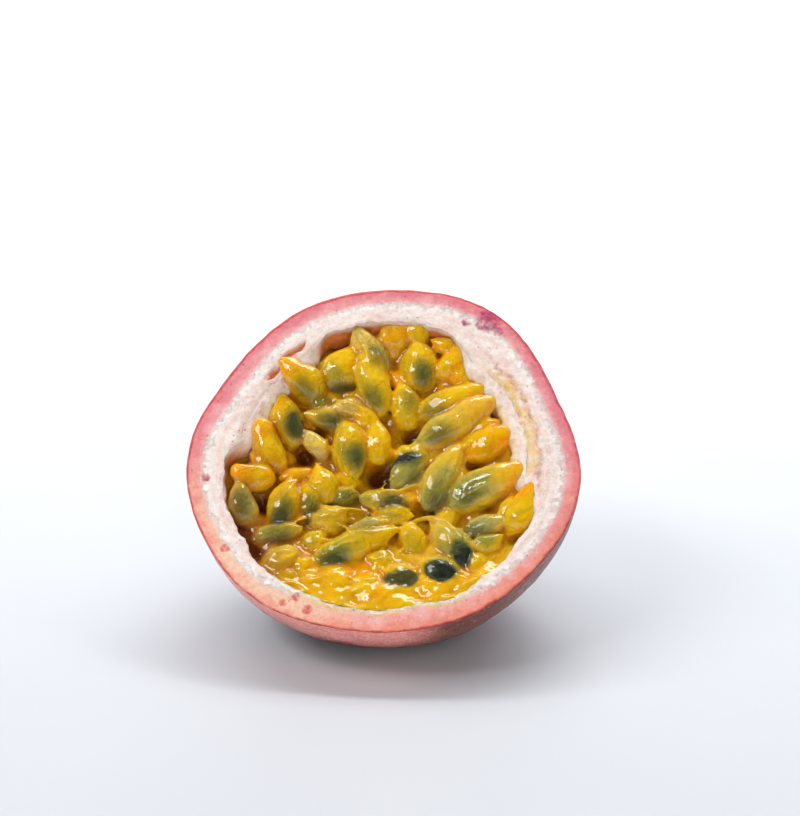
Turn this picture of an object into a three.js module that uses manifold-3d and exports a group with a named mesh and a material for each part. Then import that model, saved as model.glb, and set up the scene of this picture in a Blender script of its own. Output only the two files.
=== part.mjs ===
// Half of a passion fruit, cut across its middle. It leans on a small flat spot of its skin, with the cut
// face turned up and to the front (-Y). Units are millimetres and +Z is up. The origin is on the ground,
// under the middle of the half's box.
//
// Every piece is shaped in the face frame: x to the right, y up the cut face, z out of it, and its origin
// at the middle of the cut. A turned shape starts on that frame's z axis, and its points are then moved
// by the angle they stand at. The group at the end leans the face frame back.
import * as THREE from "three";
import { mergeVertices } from "three/addons/utils/BufferGeometryUtils.js";
import Module from "manifold-3d";

const wasm = await Module();
wasm.setup();

const degree = Math.PI / 180;
const { smoothstep } = THREE.MathUtils;

// ---- Driving dimensions ----

// The half
const leanBack = 41.2 * degree; // the cut face, from level
const restHeight = 28.9; // the middle of the cut above the ground, which sets the size of the flat spot
const rimRadius = 30.75; // mean outer radius of the cut
const halfDepth = 31.2; // from the cut to the stem end
const gap = 0.35; // kept between pieces that touch
const hollowTop = 1.2; // how far the pulp may stand above the cut
const drawCentre = 10; // above the cut, the point that the pulp's sides are drawn in towards

// The rim is not quite round: waves round it, as [waves, height, angle of a crest]
const rimWaves = [
  [2, 0.25, 78],
  [3, 0.7, -34],
  [4, 0.2, -18],
  [5, 0.25, -17],
  [6, 0.3, -3],
];

// The hollow inside the rind, which hangs a little low in it
const hollowRadius = 25.2;
const hollowDepth = 25.5;
const hollowStretch = 1.03; // along y
const hollowShift = -1; // along y

// The three pads on the hollow's wall that the juice sacs grow from
const padTop = 0.2; // depth at which a pad starts
const padFull = 3.8; // depth at which it stands out in full
const padFade = 11;
const padEnd = 21;
const padCrown = 0.45; // share of a pad's half width over which it stands out in full
const pads = [
  { angle: 19, halfWidth: 40, height: 5.6 },
  { angle: 149, halfWidth: 34, height: 4.2 },
  { angle: 268, halfWidth: 32, height: 3.6 },
];

// The dimple at the stem end and the stub of the stalk in it
const dimpleDepth = 1.3;
const dimpleRadius = 6;
const stalkRadius = 1.9;
const stalkLength = 5.6; // with the part that is sunk in the rind
const stalkSunk = 2.4;
const stalkRim = 0.5; // height of the worn edge at its cut end
const stalkTaper = 0.82; // radius at the cut end and at the neck, over the stalk's
const stalkFlare = 1.5; // radius at its root, over the stalk's
const stalkSides = 10;

// The top of the pulp is a shallow bowl below the cut
const pulpRimDepth = 0.9;
const pulpBowlDepth = 2.8;
const pulpBowlRadius = 26;
const bedDrop = 2.7; // from the tops of the sacs to the juice between them
const poolRise = 2.2; // the juice runs to the low side and stands this much higher there
const poolStart = -13; // y at which the pool starts to rise
const poolFull = -24;
const bedRings = [29, 23, 20, 17, 13, 9, 5, 0]; // radii of the bed's rings, the first one outside the hollow
const bedSides = 36;

// A drop's outline is a sine arch, raised to this power to fill it out
const dropFullness = 0.65;

// A juice sac is a drop with its tail at the wall, a little flat
const sacFlatness = 0.88;
const sacLean = 1.4; // over 1 moves a drop's crown towards its end
const tailDrop = 0.8; // the tail lies this much deeper than the round end
const leastStretch = 1.4; // a sac's length over its width, at least

// A seed is a flat drop
const seedLength = 5.2;
const seedWidth = 3.6;
const seedThickness = 2.1;
const seedLean = 0.85;
const seedPlace = 0.6; // along the sac, from its tail
const seedProud = 0.9; // above the sac's skin

// How finely the surfaces are faceted
const roundSides = 60;
const wallSteps = 14;
const crowding = 1.4; // over 1 sets more of the wall's steps near the cut
const sacSides = 8;
const sacSteps = 6;
const seedSides = 9;
const seedSteps = 6;

// The sacs that lie open, as [tail x, tail y, end x, end y, width, rise above the bowl, shows its seed]
const openSacs = [
  // up the face, on the left
  [-18.5, 17.5, -11.5, 11, 5.7, 0.3, 0],
  [-7, 20.5, -10.5, 13, 5.7, 0.6, 1],
  [-7, 20, -0.5, 8.5, 6.1, 1.4, 0],
  [-6, 26, -1, 17, 5.1, 0, 0],
  [-1.5, 26.5, 2, 20, 5.9, 0.3, 0],
  // up the face, on the right
  [3, 27, 3.5, 21.5, 5.5, 0.2, 0],
  [4, 24.5, 5, 14.5, 6.7, 0.5, 1],
  [6.5, 24, 11, 21.5, 4.6, 0.3, 0],
  [12, 21.5, 7.5, 16, 5.9, 0.2, 0],
  [9, 18.5, 15, 13.5, 5, 0.4, 0],
  [14, 14.5, 5.5, 8.5, 5.9, 0.9, 0],
  [1.5, 17.5, 4.2, 6, 5.4, 0.2, 0],
  // the right side
  [17, 11.5, 5.5, 2.5, 6.1, 1.3, 0],
  [19.5, 7.5, 11.5, 2, 6.4, 0.2, 0],
  [19.5, 3.5, 12.5, 0, 5.4, -0.4, 0],
  [12.5, 4, 8, -9, 5.7, 1, 1],
  [7, 2.5, 1.5, -5, 5, 0.6, 0],
  [7, 5, 2, 2.2, 4.6, -1.2, 1],
  [21, -0.5, 10.5, -8.5, 5.8, 0.8, 0],
  [24.5, -3.5, 20.5, -11, 4.7, -0.2, 0],
  [24, -7.5, 19.5, -15, 4.5, 0, 0],
  [20, -8.5, 13.5, -12.5, 5.1, -0.3, 0],
  [21, -13.5, 15, -18.5, 4.6, 0, 0],
  [19, -5, 12.5, -6.5, 4.6, -1.8, 0],
  // the low side
  [8, -10.5, 15, -18.8, 5.9, 0.9, 1],
  [5.5, -18, 13.5, -20.5, 5.4, 0.8, 1],
  [0.5, -18, 7, -22.5, 5.9, 0.4, 1],
  [4.5, -10, 6.5, -17.5, 5.3, -0.6, 0],
  [3, -13, -9.5, -18.7, 5.4, 1, 1],
  [5.5, -11.5, -2.5, -15.5, 5, 0.4, 0],
  [5.5, -6, -3, -8, 5, 0.3, 1],
  [4.5, -9, -3, -11.5, 4.8, 0.4, 0],
  [-4.5, -9.5, -10.5, -12.5, 5.2, -0.1, 0],
  [-3.5, -4.5, -8, -6, 4.1, -1.3, 0],
  [-7.5, -11.5, -11.5, -16, 3.9, -1, 0],
  [-11, -12.5, -19, -15, 3.8, -0.5, 0],
  [-12.5, -15.5, -16.5, -21, 5.7, 0.6, 0],
  [-8, -17.5, -12, -20.5, 4.4, -0.3, 0],
  [-2, -19.5, -6.5, -23, 4.6, -0.4, 0],
  // the left side
  [-23, -3.5, -20, -13.5, 5.7, -0.4, 1],
  [-14.5, -2, -16.5, -12.8, 6.1, 0.8, 1],
  [-12.5, -3, -11.5, -11.5, 5, 0, 0],
  [-11, 0.5, -8.5, -8, 5.9, 0.7, 0],
  [-20, 4.5, -16, -1.5, 5.9, 0.4, 0],
  [-23.5, -2.5, -17.5, -3.5, 5.4, 0.3, 0],
  [-18.5, 11.5, -15, 3.5, 6.5, 0.5, 1],
  [-14.5, 9, -6.5, 6.3, 4.6, 0, 0],
  [-3, 10.5, -10.5, 11, 4.6, 0.1, 0],
  [-13, 14, -9.5, 9.5, 4.1, -0.9, 0],
  [-13, 5.5, -11, 0, 4.1, -0.4, 0],
  [-8, 7, -3.5, -4, 6.6, 0.8, 1],
  [-2.5, 8.5, 2, -0.5, 5.9, 0.5, 0],
  [-6, 9.5, -2, 4.5, 5.7, 0.6, 0],
];

// Sacs of the next layer down, seen between the open ones
const lowerSacCount = 12;
const lowerSacReach = 20;
const lowerSacRise = -2.5;
const lowerSacLength = 9;
const lowerSacWidth = 5.4;
const lowerSacSway = 0.5; // radians either way
const goldenTurn = 137.5 * degree;

// ---- Solids ----

// A closed three.js geometry as a solid that can be cut and joined.
function solidOf(geometry) {
  const bare = geometry.clone();
  bare.deleteAttribute("normal");
  bare.deleteAttribute("uv");
  const merged = mergeVertices(bare, 1e-3);
  return new wasm.Manifold(
    new wasm.Mesh({
      numProp: 3,
      vertProperties: new Float32Array(merged.attributes.position.array),
      triVerts: new Uint32Array(merged.index.array),
    }),
  );
}

// The largest body of a solid, as a named mesh. Loose scraps that a cut leaves are dropped.
function meshOf(solid, name, material) {
  const bodies = solid.decompose().sort((a, b) => b.volume() - a.volume());
  const { vertProperties, triVerts } = bodies[0].getMesh();
  const geometry = new THREE.BufferGeometry();
  geometry.setAttribute("position", new THREE.BufferAttribute(vertProperties, 3));
  geometry.setIndex(new THREE.BufferAttribute(triVerts, 1));
  const flat = geometry.toNonIndexed();
  flat.computeVertexNormals();
  const mesh = new THREE.Mesh(flat, material);
  mesh.name = name;
  return mesh;
}

// A profile of [radius, z] points turned about z. move, if given, shifts each point in place; it gets
// the point and its number along the profile.
function turned(profile, sides, move) {
  const points = profile.map(([radius, z]) => new THREE.Vector2(radius, z));
  const geometry = new THREE.LatheGeometry(points, sides).rotateX(Math.PI / 2);
  const position = geometry.attributes.position;
  const point = new THREE.Vector3();
  for (let i = 0; move && i < position.count; i++) {
    point.fromBufferAttribute(position, i);
    move(point, i % profile.length);
    position.setXYZ(i, point.x, point.y, point.z);
  }
  return geometry;
}

// A quarter of an oval from the axis, at -depth, out to radius at z = 0. Its points crowd towards the cut.
function quarterOval(radius, depth, steps) {
  return Array.from({ length: steps + 1 }, (_, i) => {
    const turn = 90 * degree * (1 - (1 - i / steps) ** crowding);
    const onAxis = i === 0;
    const atCut = i === steps;
    return [onAxis ? 0 : radius * Math.sin(turn), atCut ? 0 : -depth * Math.cos(turn)];
  });
}

// ---- The rind ----

// The rim's outer radius at an angle, over the mean.
function rimShare(angle) {
  const waves = rimWaves.map(([count, height, crest]) => height * Math.cos(count * (angle - crest * degree)));
  return 1 + waves.reduce((sum, wave) => sum + wave, 0) / rimRadius;
}

// The skin: the rim's shape fades to round towards the stem end, which is dimpled.
function moveSkin(point) {
  const radius = Math.hypot(point.x, point.y);
  const nearRim = (radius / rimRadius) ** 2;
  const share = 1 + (rimShare(Math.atan2(point.y, point.x)) - 1) * nearRim;
  point.x *= share;
  point.y *= share;
  if (point.z < -halfDepth / 2) point.z += dimpleDepth * Math.exp(-((radius / dimpleRadius) ** 2));
}

// How far a pad stands out of the wall of the hollow at an angle and a depth below the cut.
function padHeight(angle, depth) {
  const level = smoothstep(depth, padTop, padFull) * (1 - smoothstep(depth, padFade, padEnd));
  return pads.reduce((sum, pad) => {
    const turn = angle - pad.angle * degree;
    const away = Math.abs(Math.atan2(Math.sin(turn), Math.cos(turn))) / degree;
    return sum + pad.height * level * (1 - smoothstep(away, padCrown * pad.halfWidth, pad.halfWidth));
  }, 0);
}

// The wall of the hollow: stretched and shifted along y, and pushed in by the pads.
function moveHollow(point) {
  const radius = Math.hypot(point.x, point.y);
  if (radius > 0) {
    const share = 1 - padHeight(Math.atan2(point.y, point.x), -point.z) / radius;
    point.x *= share;
    point.y *= share * hollowStretch;
  }
  point.y += hollowShift * Math.min(1, radius / hollowRadius);
}

// The hollow as a solid that stands a little past the cut, drawn in by a gap towards a point over the cut.
function hollowSolid(drawnIn) {
  const wall = quarterOval(hollowRadius, hollowDepth, wallSteps);
  const top = [
    [hollowRadius, hollowTop],
    [0, hollowTop],
  ];
  const centre = new THREE.Vector3(0, hollowShift, drawCentre);
  return solidOf(
    turned([...wall, ...top], roundSides, (point) => {
      moveHollow(point);
      point.lerp(centre, drawnIn / point.distanceTo(centre));
    }),
  );
}

function rindSolid() {
  const half = turned([...quarterOval(rimRadius, halfDepth, wallSteps), [0, 0]], roundSides, moveSkin);
  const stalk = turned(
    [
      [0, 0],
      [stalkRadius * stalkTaper, 0],
      [stalkRadius, stalkRim],
      [stalkRadius * stalkTaper, stalkLength - stalkSunk],
      [stalkRadius * stalkFlare, stalkLength],
      [0, stalkLength],
    ],
    stalkSides,
  ).translate(0, 0, dimpleDepth - halfDepth + stalkSunk - stalkLength);
  const up = [0, Math.sin(leanBack), Math.cos(leanBack)]; // plumb, in the face frame
  return solidOf(half).subtract(hollowSolid(0)).add(solidOf(stalk)).trimByPlane(up, -restHeight);
}

// ---- The pulp ----

// Depth of the pulp's top below the cut.
function bowlDepth(x, y) {
  const share = Math.min(1, (x * x + y * y) / pulpBowlRadius ** 2);
  return pulpRimDepth + pulpBowlDepth * (1 - share);
}



// The juice and small bits that fill the room up to the bed between the sacs.
function bedSolid() {
  const bottom = -halfDepth;
  const below = [
    [0, bottom],
    [bedRings[0], bottom],
  ];
  const top = bedRings.map((radius) => [radius, 0]);
  return solidOf(
    turned([...below, ...top], bedSides, (point, step) => {
      if (step < below.length) return;
      const pool = poolRise * smoothstep(-point.y, -poolStart, -poolFull);
      point.z = pool - bedDrop - bowlDepth(point.x, point.y);
    }),
  );
}

// A drop along +z from its tail at 0: its radius is a sine arch whose crown is leant towards the end.
function drop(length, width, thickness, lean, sides, steps) {
  const profile = Array.from({ length: steps + 1 }, (_, i) => {
    const along = (1 - Math.cos((Math.PI * i) / steps)) / 2;
    const ends = i === 0 || i === steps;
    const arch = ends ? 0 : Math.sin(Math.PI * along ** lean) ** dropFullness;
    return [(arch * width) / 2, along * length];
  });
  return turned(profile, sides).scale(1, thickness / width, 1);
}

// Where a sac lies: its ends as points, and the matrix from a drop's own axes to the face frame.
function sacPlace([tailX, tailY, endX, endY, width, rise]) {
  const half = (width * sacFlatness) / 2;
  const end = new THREE.Vector3(endX, endY, rise - half - bowlDepth(endX, endY));
  const tail = new THREE.Vector3(tailX, tailY, rise - half - tailDrop - bowlDepth(tailX, tailY));
  const axis = end.clone().sub(tail);
  const length = Math.max(axis.length(), leastStretch * width);
  axis.normalize();
  tail.copy(end).addScaledVector(axis, -length);
  const side = new THREE.Vector3(0, 0, 1).cross(axis).normalize();
  const up = axis.clone().cross(side);
  const matrix = new THREE.Matrix4().makeBasis(side, up, axis);
  return { tail, axis, up, length, matrix };
}

function sacSolid(sac) {
  const width = sac[4];
  const place = sacPlace(sac);
  const shape = drop(place.length, width, width * sacFlatness, sacLean, sacSides, sacSteps);
  return solidOf(shape.applyMatrix4(place.matrix.setPosition(place.tail)));
}

// A seed lies along its sac, with one flat side at the sac's skin. grown is added all round.
function seedSolid(sac, grown) {
  const width = sac[4];
  const { tail, axis, up, matrix, length } = sacPlace(sac);
  const middle = tail.clone().addScaledVector(axis, seedPlace * length);
  middle.addScaledVector(up, (width * sacFlatness - seedThickness) / 2 + seedProud);
  const [long, wide, thick] = [seedLength, seedWidth, seedThickness].map((size) => size + 2 * grown);
  const shape = drop(long, wide, thick, seedLean, seedSides, seedSteps);
  return solidOf(shape.translate(0, 0, -long / 2).applyMatrix4(matrix.setPosition(middle)));
}

// The lower sacs, on a spiral that fills the bowl evenly, each turned a little further than the last.
function lowerSacs() {
  return Array.from({ length: lowerSacCount }, (_, i) => {
    const radius = lowerSacReach * Math.sqrt((i + 0.5) / lowerSacCount);
    const angle = i * goldenTurn;
    const heading = angle + Math.PI + lowerSacSway * Math.sin(goldenTurn * i);
    const tailX = radius * Math.cos(angle);
    const tailY = radius * Math.sin(angle);
    const endX = tailX + lowerSacLength * Math.cos(heading);
    const endY = tailY + lowerSacLength * Math.sin(heading);
    return [tailX, tailY, endX, endY, lowerSacWidth, lowerSacRise, 0];
  });
}

const seededSacs = openSacs.filter((sac) => sac[6]);

function pulpSolid() {
  const sacs = [...openSacs, ...lowerSacs()].map(sacSolid);
  const pockets = seededSacs.map((sac) => seedSolid(sac, gap));
  const heap = wasm.Manifold.union([bedSolid(), ...sacs]);
  return heap.intersect(hollowSolid(gap)).subtract(wasm.Manifold.union(pockets));
}

// ---- The fruit ----

const rindMaterial = new THREE.MeshStandardMaterial({ color: 0x6b2430, roughness: 0.45, metalness: 0 });
const pulpMaterial = new THREE.MeshStandardMaterial({ color: 0xe0a818, roughness: 0.15, metalness: 0 });
const seedMaterial = new THREE.MeshStandardMaterial({ color: 0x14170f, roughness: 0.2, metalness: 0 });

const fruit = new THREE.Group();
fruit.add(meshOf(rindSolid(), "rind", rindMaterial));
fruit.add(meshOf(pulpSolid(), "pulp", pulpMaterial));
seededSacs.forEach((sac, i) => {
  const name = `seed_${String(i + 1).padStart(2, "0")}`;
  fruit.add(meshOf(seedSolid(sac, 0), name, seedMaterial));
});
fruit.rotation.x = leanBack;

// Stand the half on the ground, with the middle of its box over the origin.
const box = new THREE.Box3().setFromObject(fruit, true);
fruit.position.set(-(box.min.x + box.max.x) / 2, -(box.min.y + box.max.y) / 2, -box.min.z);

const part = new THREE.Group();
part.add(fruit);

export default part;
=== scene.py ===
import math

import bpy
import numpy as np
from mathutils import Matrix, Vector
from mathutils.bvhtree import BVHTree


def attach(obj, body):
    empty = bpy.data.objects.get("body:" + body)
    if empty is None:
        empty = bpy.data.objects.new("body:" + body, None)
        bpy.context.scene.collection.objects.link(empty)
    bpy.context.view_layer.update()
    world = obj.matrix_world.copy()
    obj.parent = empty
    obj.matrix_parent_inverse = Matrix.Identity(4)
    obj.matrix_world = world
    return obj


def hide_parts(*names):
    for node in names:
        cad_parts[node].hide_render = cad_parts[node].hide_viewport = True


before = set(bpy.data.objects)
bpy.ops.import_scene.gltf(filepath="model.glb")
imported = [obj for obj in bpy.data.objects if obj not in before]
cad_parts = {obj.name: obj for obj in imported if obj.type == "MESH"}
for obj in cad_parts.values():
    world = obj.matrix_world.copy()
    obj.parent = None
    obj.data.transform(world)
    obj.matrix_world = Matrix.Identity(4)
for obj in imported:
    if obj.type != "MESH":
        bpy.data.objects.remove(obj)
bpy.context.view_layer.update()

half = {
    "leanBack": 41.2,  # degrees, the cut from level
    "cutHeight": 28.9,  # the middle of the cut above the ground
    "rimRadius": 30.75,
    "depth": 31.2,  # from the cut to the stem end
    "dimpleDepth": 1.3,  # at the stem end
    "dimpleRadius": 6,
    "inside": 0.998,  # keeps the round skin inside the faceted one
    "press": 0.3,  # how softly the skin meets the ground
    # waves of the rim: how many round it, their height, and the angle of a crest
    "rimWaves": [(2, 0.25, 78), (3, 0.7, -34), (4, 0.2, -18), (5, 0.25, -17), (6, 0.3, -3)],
}
hollow = {
    "radius": 25.2,
    "depth": 25.5,
    "stretch": 1.03,  # along y
    "shift": -1,  # along y
    "pads": [(24, 46, 5.0), (149, 34, 4.2), (268, 32, 1.2)],  # angle, half width, height
    "padTop": -3,  # depths at which a pad starts, stands out in full, fades and ends
    "padFull": 2.8,
    "padFade": 11,
    "padEnd": 21,
    "padCrown": 0.6,  # the share of its half width over which a pad is flat
}


def smoothStep(value, low, high):  # 0 at low, 1 at high, with an even slope at both ends
    share = np.clip((value - low) / (high - low), 0, 1)
    return share * share * (3 - 2 * share)


def swell(points, size, seed, count=26):
    # an uneven smooth field, about -1 to 1: sines along random directions, each about size long, summed
    rng = np.random.default_rng(seed)
    directions = rng.normal(size=(count, 3))
    directions /= np.linalg.norm(directions, axis=1)[:, None]
    lengths = size * rng.uniform(0.7, 1.6, count)
    phases = rng.uniform(0, 2 * math.pi, count)
    waves = np.sin(points @ (directions * (2 * math.pi / lengths)[:, None]).T + phases)
    return waves.sum(axis=-1) / math.sqrt(count)


def swells(points, layers):  # uneven fields summed, each given as its height, size and seed
    return sum(height * swell(points, size, seed) for height, size, seed in layers)


def angleBetween(angle, other):  # the smaller turn from one angle to another, in radians
    return np.abs(np.arctan2(np.sin(angle - other), np.cos(angle - other)))


def near(angle, middle, full, end):
    # 1 near the middle, an angle in degrees, fading between two turns from it, in radians
    return 1 - smoothStep(angleBetween(angle, math.radians(middle)), full, end)


def fullTurn(count):  # angles all round, evenly, the last one short of the first
    return np.linspace(0, 2 * math.pi, count, endpoint=False)


def unit(vector):  # the same direction with a length of 1
    return vector / np.linalg.norm(vector)


def levelAxes(along):  # the level direction across a direction, and the one that points up from both
    side = unit(np.cross([0, 0, 1], along))
    return side, np.cross(along, side)


def ovals(spine, side, up, wide, high, columns):
    # a profile carried along a spine: circles with one radius to the side and one upwards for each ring
    angle = fullTurn(columns)
    return (spine[:, None] + (wide[:, None] * np.cos(angle))[..., None] * side
            + (high[:, None] * np.sin(angle))[..., None] * up)


def gridFaces(rows, columns):
    # quads between neighbouring rows of a grid whose columns close round
    row = np.arange(rows - 1)[:, None] * columns
    column = np.arange(columns)[None, :]
    after = (column + 1) % columns
    corners = [row + column, row + after, row + columns + after, row + columns + column]
    return np.stack(corners, axis=-1).reshape(-1, 4)


def closedGrid(points):
    # a grid of points (rows, columns, 3) as one closed surface: each end row closes on its own middle point
    rows, columns = points.shape[:2]
    flat = points.reshape(-1, 3)
    ends = np.stack([points[0].mean(axis=0), points[-1].mean(axis=0)])
    column = np.arange(columns)
    after = (column + 1) % columns
    last = (rows - 1) * columns
    first = np.stack([np.full(columns, len(flat)), after, column], axis=-1)
    end = np.stack([np.full(columns, len(flat) + 1), last + column, last + after], axis=-1)
    return np.vstack([flat, ends]), gridFaces(rows, columns), np.vstack([first, end])


def enclosed(points, quads, triangles):
    # the volume inside a closed surface, below 0 if its faces point inwards
    fan = np.vstack([triangles, quads[:, [0, 1, 2]], quads[:, [0, 2, 3]]])
    a, b, c = (points[fan[:, i]] for i in range(3))
    return np.einsum("ij,ij->i", a, np.cross(b, c)).sum() / 6


def joined(grids):
    # grids as one set of closed surfaces, all with their faces outwards
    points, quads, triangles, start = [], [], [], 0
    for grid in grids:
        p, q, t = closedGrid(grid)
        if enclosed(p, q, t) < 0:
            q, t = q[:, ::-1], t[:, ::-1]
        points.append(p)
        quads.append(q + start)
        triangles.append(t + start)
        start += len(p)
    return np.vstack(points), np.vstack(quads), np.vstack(triangles)


def makeMesh(name, points, quads, triangles, fields=None):
    # a mesh from arrays, faces outwards, with an attribute for each field: a number or a vector at every point
    if enclosed(points, quads, triangles) < 0:
        quads, triangles = quads[:, ::-1], triangles[:, ::-1]
    mesh = bpy.data.meshes.new(name)
    mesh.vertices.add(len(points))
    mesh.vertices.foreach_set("co", points.astype(np.float32).ravel())
    loops = np.concatenate([quads.ravel(), triangles.ravel()])
    sizes = np.concatenate([np.full(len(quads), 4), np.full(len(triangles), 3)])
    mesh.loops.add(len(loops))
    mesh.loops.foreach_set("vertex_index", loops.astype(np.int32))
    mesh.polygons.add(len(sizes))
    starts = np.concatenate([[0], np.cumsum(sizes)[:-1]])
    mesh.polygons.foreach_set("loop_start", starts.astype(np.int32))
    mesh.polygons.foreach_set("use_smooth", np.ones(len(sizes), bool))
    mesh.update(calc_edges=True)
    for key, values in (fields or {}).items():
        kind, part = ("FLOAT", "value") if values.ndim == 1 else ("FLOAT_VECTOR", "vector")
        attribute = mesh.attributes.new(key, kind, "POINT")
        attribute.data.foreach_set(part, values.astype(np.float32).ravel())
    mesh.validate()
    return mesh


def addObject(name, data):  # a new object in the scene
    thing = bpy.data.objects.new(name, data)
    bpy.context.scene.collection.objects.link(thing)
    return thing


def addPiece(name, mesh, node, materials):
    # a finished piece: it stands for a CAD node, or for none, and rides on the one body
    piece = addObject(name, mesh)
    for material in materials:
        mesh.materials.append(material)
    if node:
        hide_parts(node)
    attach(piece, "root")


def rimShare(angle):  # the rim's radius over its mean: a sum of cosines
    waves = [size * np.cos(count * (angle - math.radians(crest))) for count, size, crest in half["rimWaves"]]
    return 1 + sum(waves) / half["rimRadius"]


def skinPoint(turn, angle):
    # turn runs from 0 at the stem end to a right angle at the cut: an oval, with the rim's waves fading
    # as the square of the radius, and a bell-shaped dimple at the stem
    radius = half["rimRadius"] * np.sin(turn)
    share = 1 + (rimShare(angle) - 1) * np.sin(turn) ** 2
    dimple = half["dimpleDepth"] * np.exp(-((radius / half["dimpleRadius"]) ** 2))
    z = dimple - half["depth"] * np.cos(turn)
    return np.stack([radius * share * np.cos(angle), radius * share * np.sin(angle), z + 0 * angle], axis=-1)


def padHeight(angle, depth):
    # how far the pads stand out of the wall: a smooth step down from the cut, times one across each pad
    level = smoothStep(depth, hollow["padTop"], hollow["padFull"])
    level = level * (1 - smoothStep(depth, hollow["padFade"], hollow["padEnd"]))
    total = 0 * (angle + depth)
    for middle, halfWidth, height in hollow["pads"]:
        away = np.degrees(angleBetween(angle, math.radians(middle)))
        total = total + height * level * (1 - smoothStep(away, hollow["padCrown"] * halfWidth, halfWidth))
    return total


def hollowPoint(depth, angle, out=0):
    # the wall of the hollow: an oval less the pads, stretched and shifted along y; out moves it outwards
    share = np.sqrt(np.clip(1 - (depth / hollow["depth"]) ** 2, 0, 1))
    radius = hollow["radius"] * share - padHeight(angle, depth) + out
    x = radius * np.cos(angle)
    y = radius * np.sin(angle) * hollow["stretch"] + hollow["shift"] * share
    return np.stack([x, y, 0 * x - depth], axis=-1)


lean = math.radians(half["leanBack"])
leanTurn = np.array([[1, 0, 0], [0, math.cos(lean), -math.sin(lean)], [0, math.sin(lean), math.cos(lean)]])
outline = skinPoint(np.linspace(0, math.pi / 2, 90)[:, None], np.linspace(0, 2 * math.pi, 361)[None, :])
turned = outline.reshape(-1, 3) @ leanTurn.T
cutMiddle = -(turned.min(axis=0) + turned.max(axis=0)) / 2
cutMiddle[2] = half["cutHeight"]


def stand(points, onGround=False):
    # from the face frame to the ground frame, in metres; onGround presses what is lower onto the ground
    placed = points @ leanTurn.T + cutMiddle
    if onGround:
        placed[..., 2] = (placed[..., 2] + np.sqrt(placed[..., 2] ** 2 + half["press"] ** 2)) / 2
    return placed * 0.001


def setInputs(tree, node, inputs):  # a value for each input, or a link where a socket is given
    for key, value in inputs.items():
        if isinstance(value, bpy.types.NodeSocket):
            tree.links.new(value, node.inputs[key])
        else:
            node.inputs[key].default_value = value


def addNode(tree, kind, inputs=None, **settings):  # a node with its settings and inputs
    node = tree.nodes.new(kind)
    for key, value in settings.items():
        setattr(node, key, value)
    setInputs(tree, node, inputs or {})
    return node


def calc(tree, operation, a, b=0.0, c=0.0):  # one step of arithmetic
    return addNode(tree, "ShaderNodeMath", {0: a, 1: b, 2: c}, operation=operation).outputs[0]


def times(tree, a, b):
    return calc(tree, "MULTIPLY", a, b)


def plus(tree, a, b):
    return calc(tree, "ADD", a, b)


def blend(tree, factor, a, b, way="MIX"):  # colour a where the factor is 0 and b where it is 1
    values = {0: factor, 6: a, 7: b}
    return addNode(tree, "ShaderNodeMix", values, data_type="RGBA", blend_type=way).outputs[2]


def spread(tree, value, low, high, start=0.0, end=1.0):  # maps low..high to start..end, clamped
    inputs = {"Value": value, "From Min": low, "From Max": high, "To Min": start, "To Max": end}
    return addNode(tree, "ShaderNodeMapRange", inputs, clamp=True).outputs[0]


def tint(tree, colour, other, value, low, high, most=1.0):
    # lays another colour over one: none of it where the value is low, the most where it is high
    return blend(tree, spread(tree, value, low, high, 0, most), colour, other)


def field(tree, name, output="Fac"):  # an attribute of the mesh
    return addNode(tree, "ShaderNodeAttribute", attribute_name=name).outputs[output]


def noise(tree, vector, scale, detail=3.0, roughness=0.5, distortion=0.0):  # from 0 to 1
    inputs = {"Vector": vector, "Scale": scale, "Detail": detail, "Roughness": roughness, "Distortion": distortion}
    return addNode(tree, "ShaderNodeTexNoise", inputs).outputs["Fac"]


def cloud(tree, place, size, detail=3.0, roughness=0.5, distortion=0.0):  # noise whose lumps are size millimetres
    return noise(tree, place, 1000 / size, detail, roughness, distortion)


def ragged(tree, value, place, height, size, detail=4.0, roughness=0.5):
    # a value made uneven: noise of this size shifts it by up to height either way
    lumps = cloud(tree, place, size, detail, roughness)
    return plus(tree, value, spread(tree, lumps, 0.3, 0.7, -height, height))


def bump(tree, height, distance, strength=1.0, normal=None):  # distance in millimetres
    inputs = {"Height": height, "Distance": distance / 1000, "Strength": strength}
    if normal is not None:
        inputs["Normal"] = normal
    return addNode(tree, "ShaderNodeBump", inputs).outputs[0]


def newMaterial(name, settings):
    # a material with a Principled shader, and its tree, shader and object coordinates
    material = bpy.data.materials.new(name)
    material.use_nodes = True
    tree = material.node_tree
    shader = tree.nodes["Principled BSDF"]
    setInputs(tree, shader, settings)
    return material, tree, shader, addNode(tree, "ShaderNodeTexCoord").outputs["Object"]


def newGroup(name, inputs, outputs):
    # a shader node group: each number it takes as a name and default, besides Place, and the names of its outputs
    group = bpy.data.node_groups.new(name, "ShaderNodeTree")
    group.interface.new_socket(name="Place", in_out="INPUT", socket_type="NodeSocketVector")
    for key, default in inputs.items():
        group.interface.new_socket(name=key, in_out="INPUT", socket_type="NodeSocketFloat").default_value = default
    for key in outputs:
        group.interface.new_socket(name=key, in_out="OUTPUT", socket_type="NodeSocketFloat")
    return group, group.nodes.new("NodeGroupInput").outputs, group.nodes.new("NodeGroupOutput")


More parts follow.
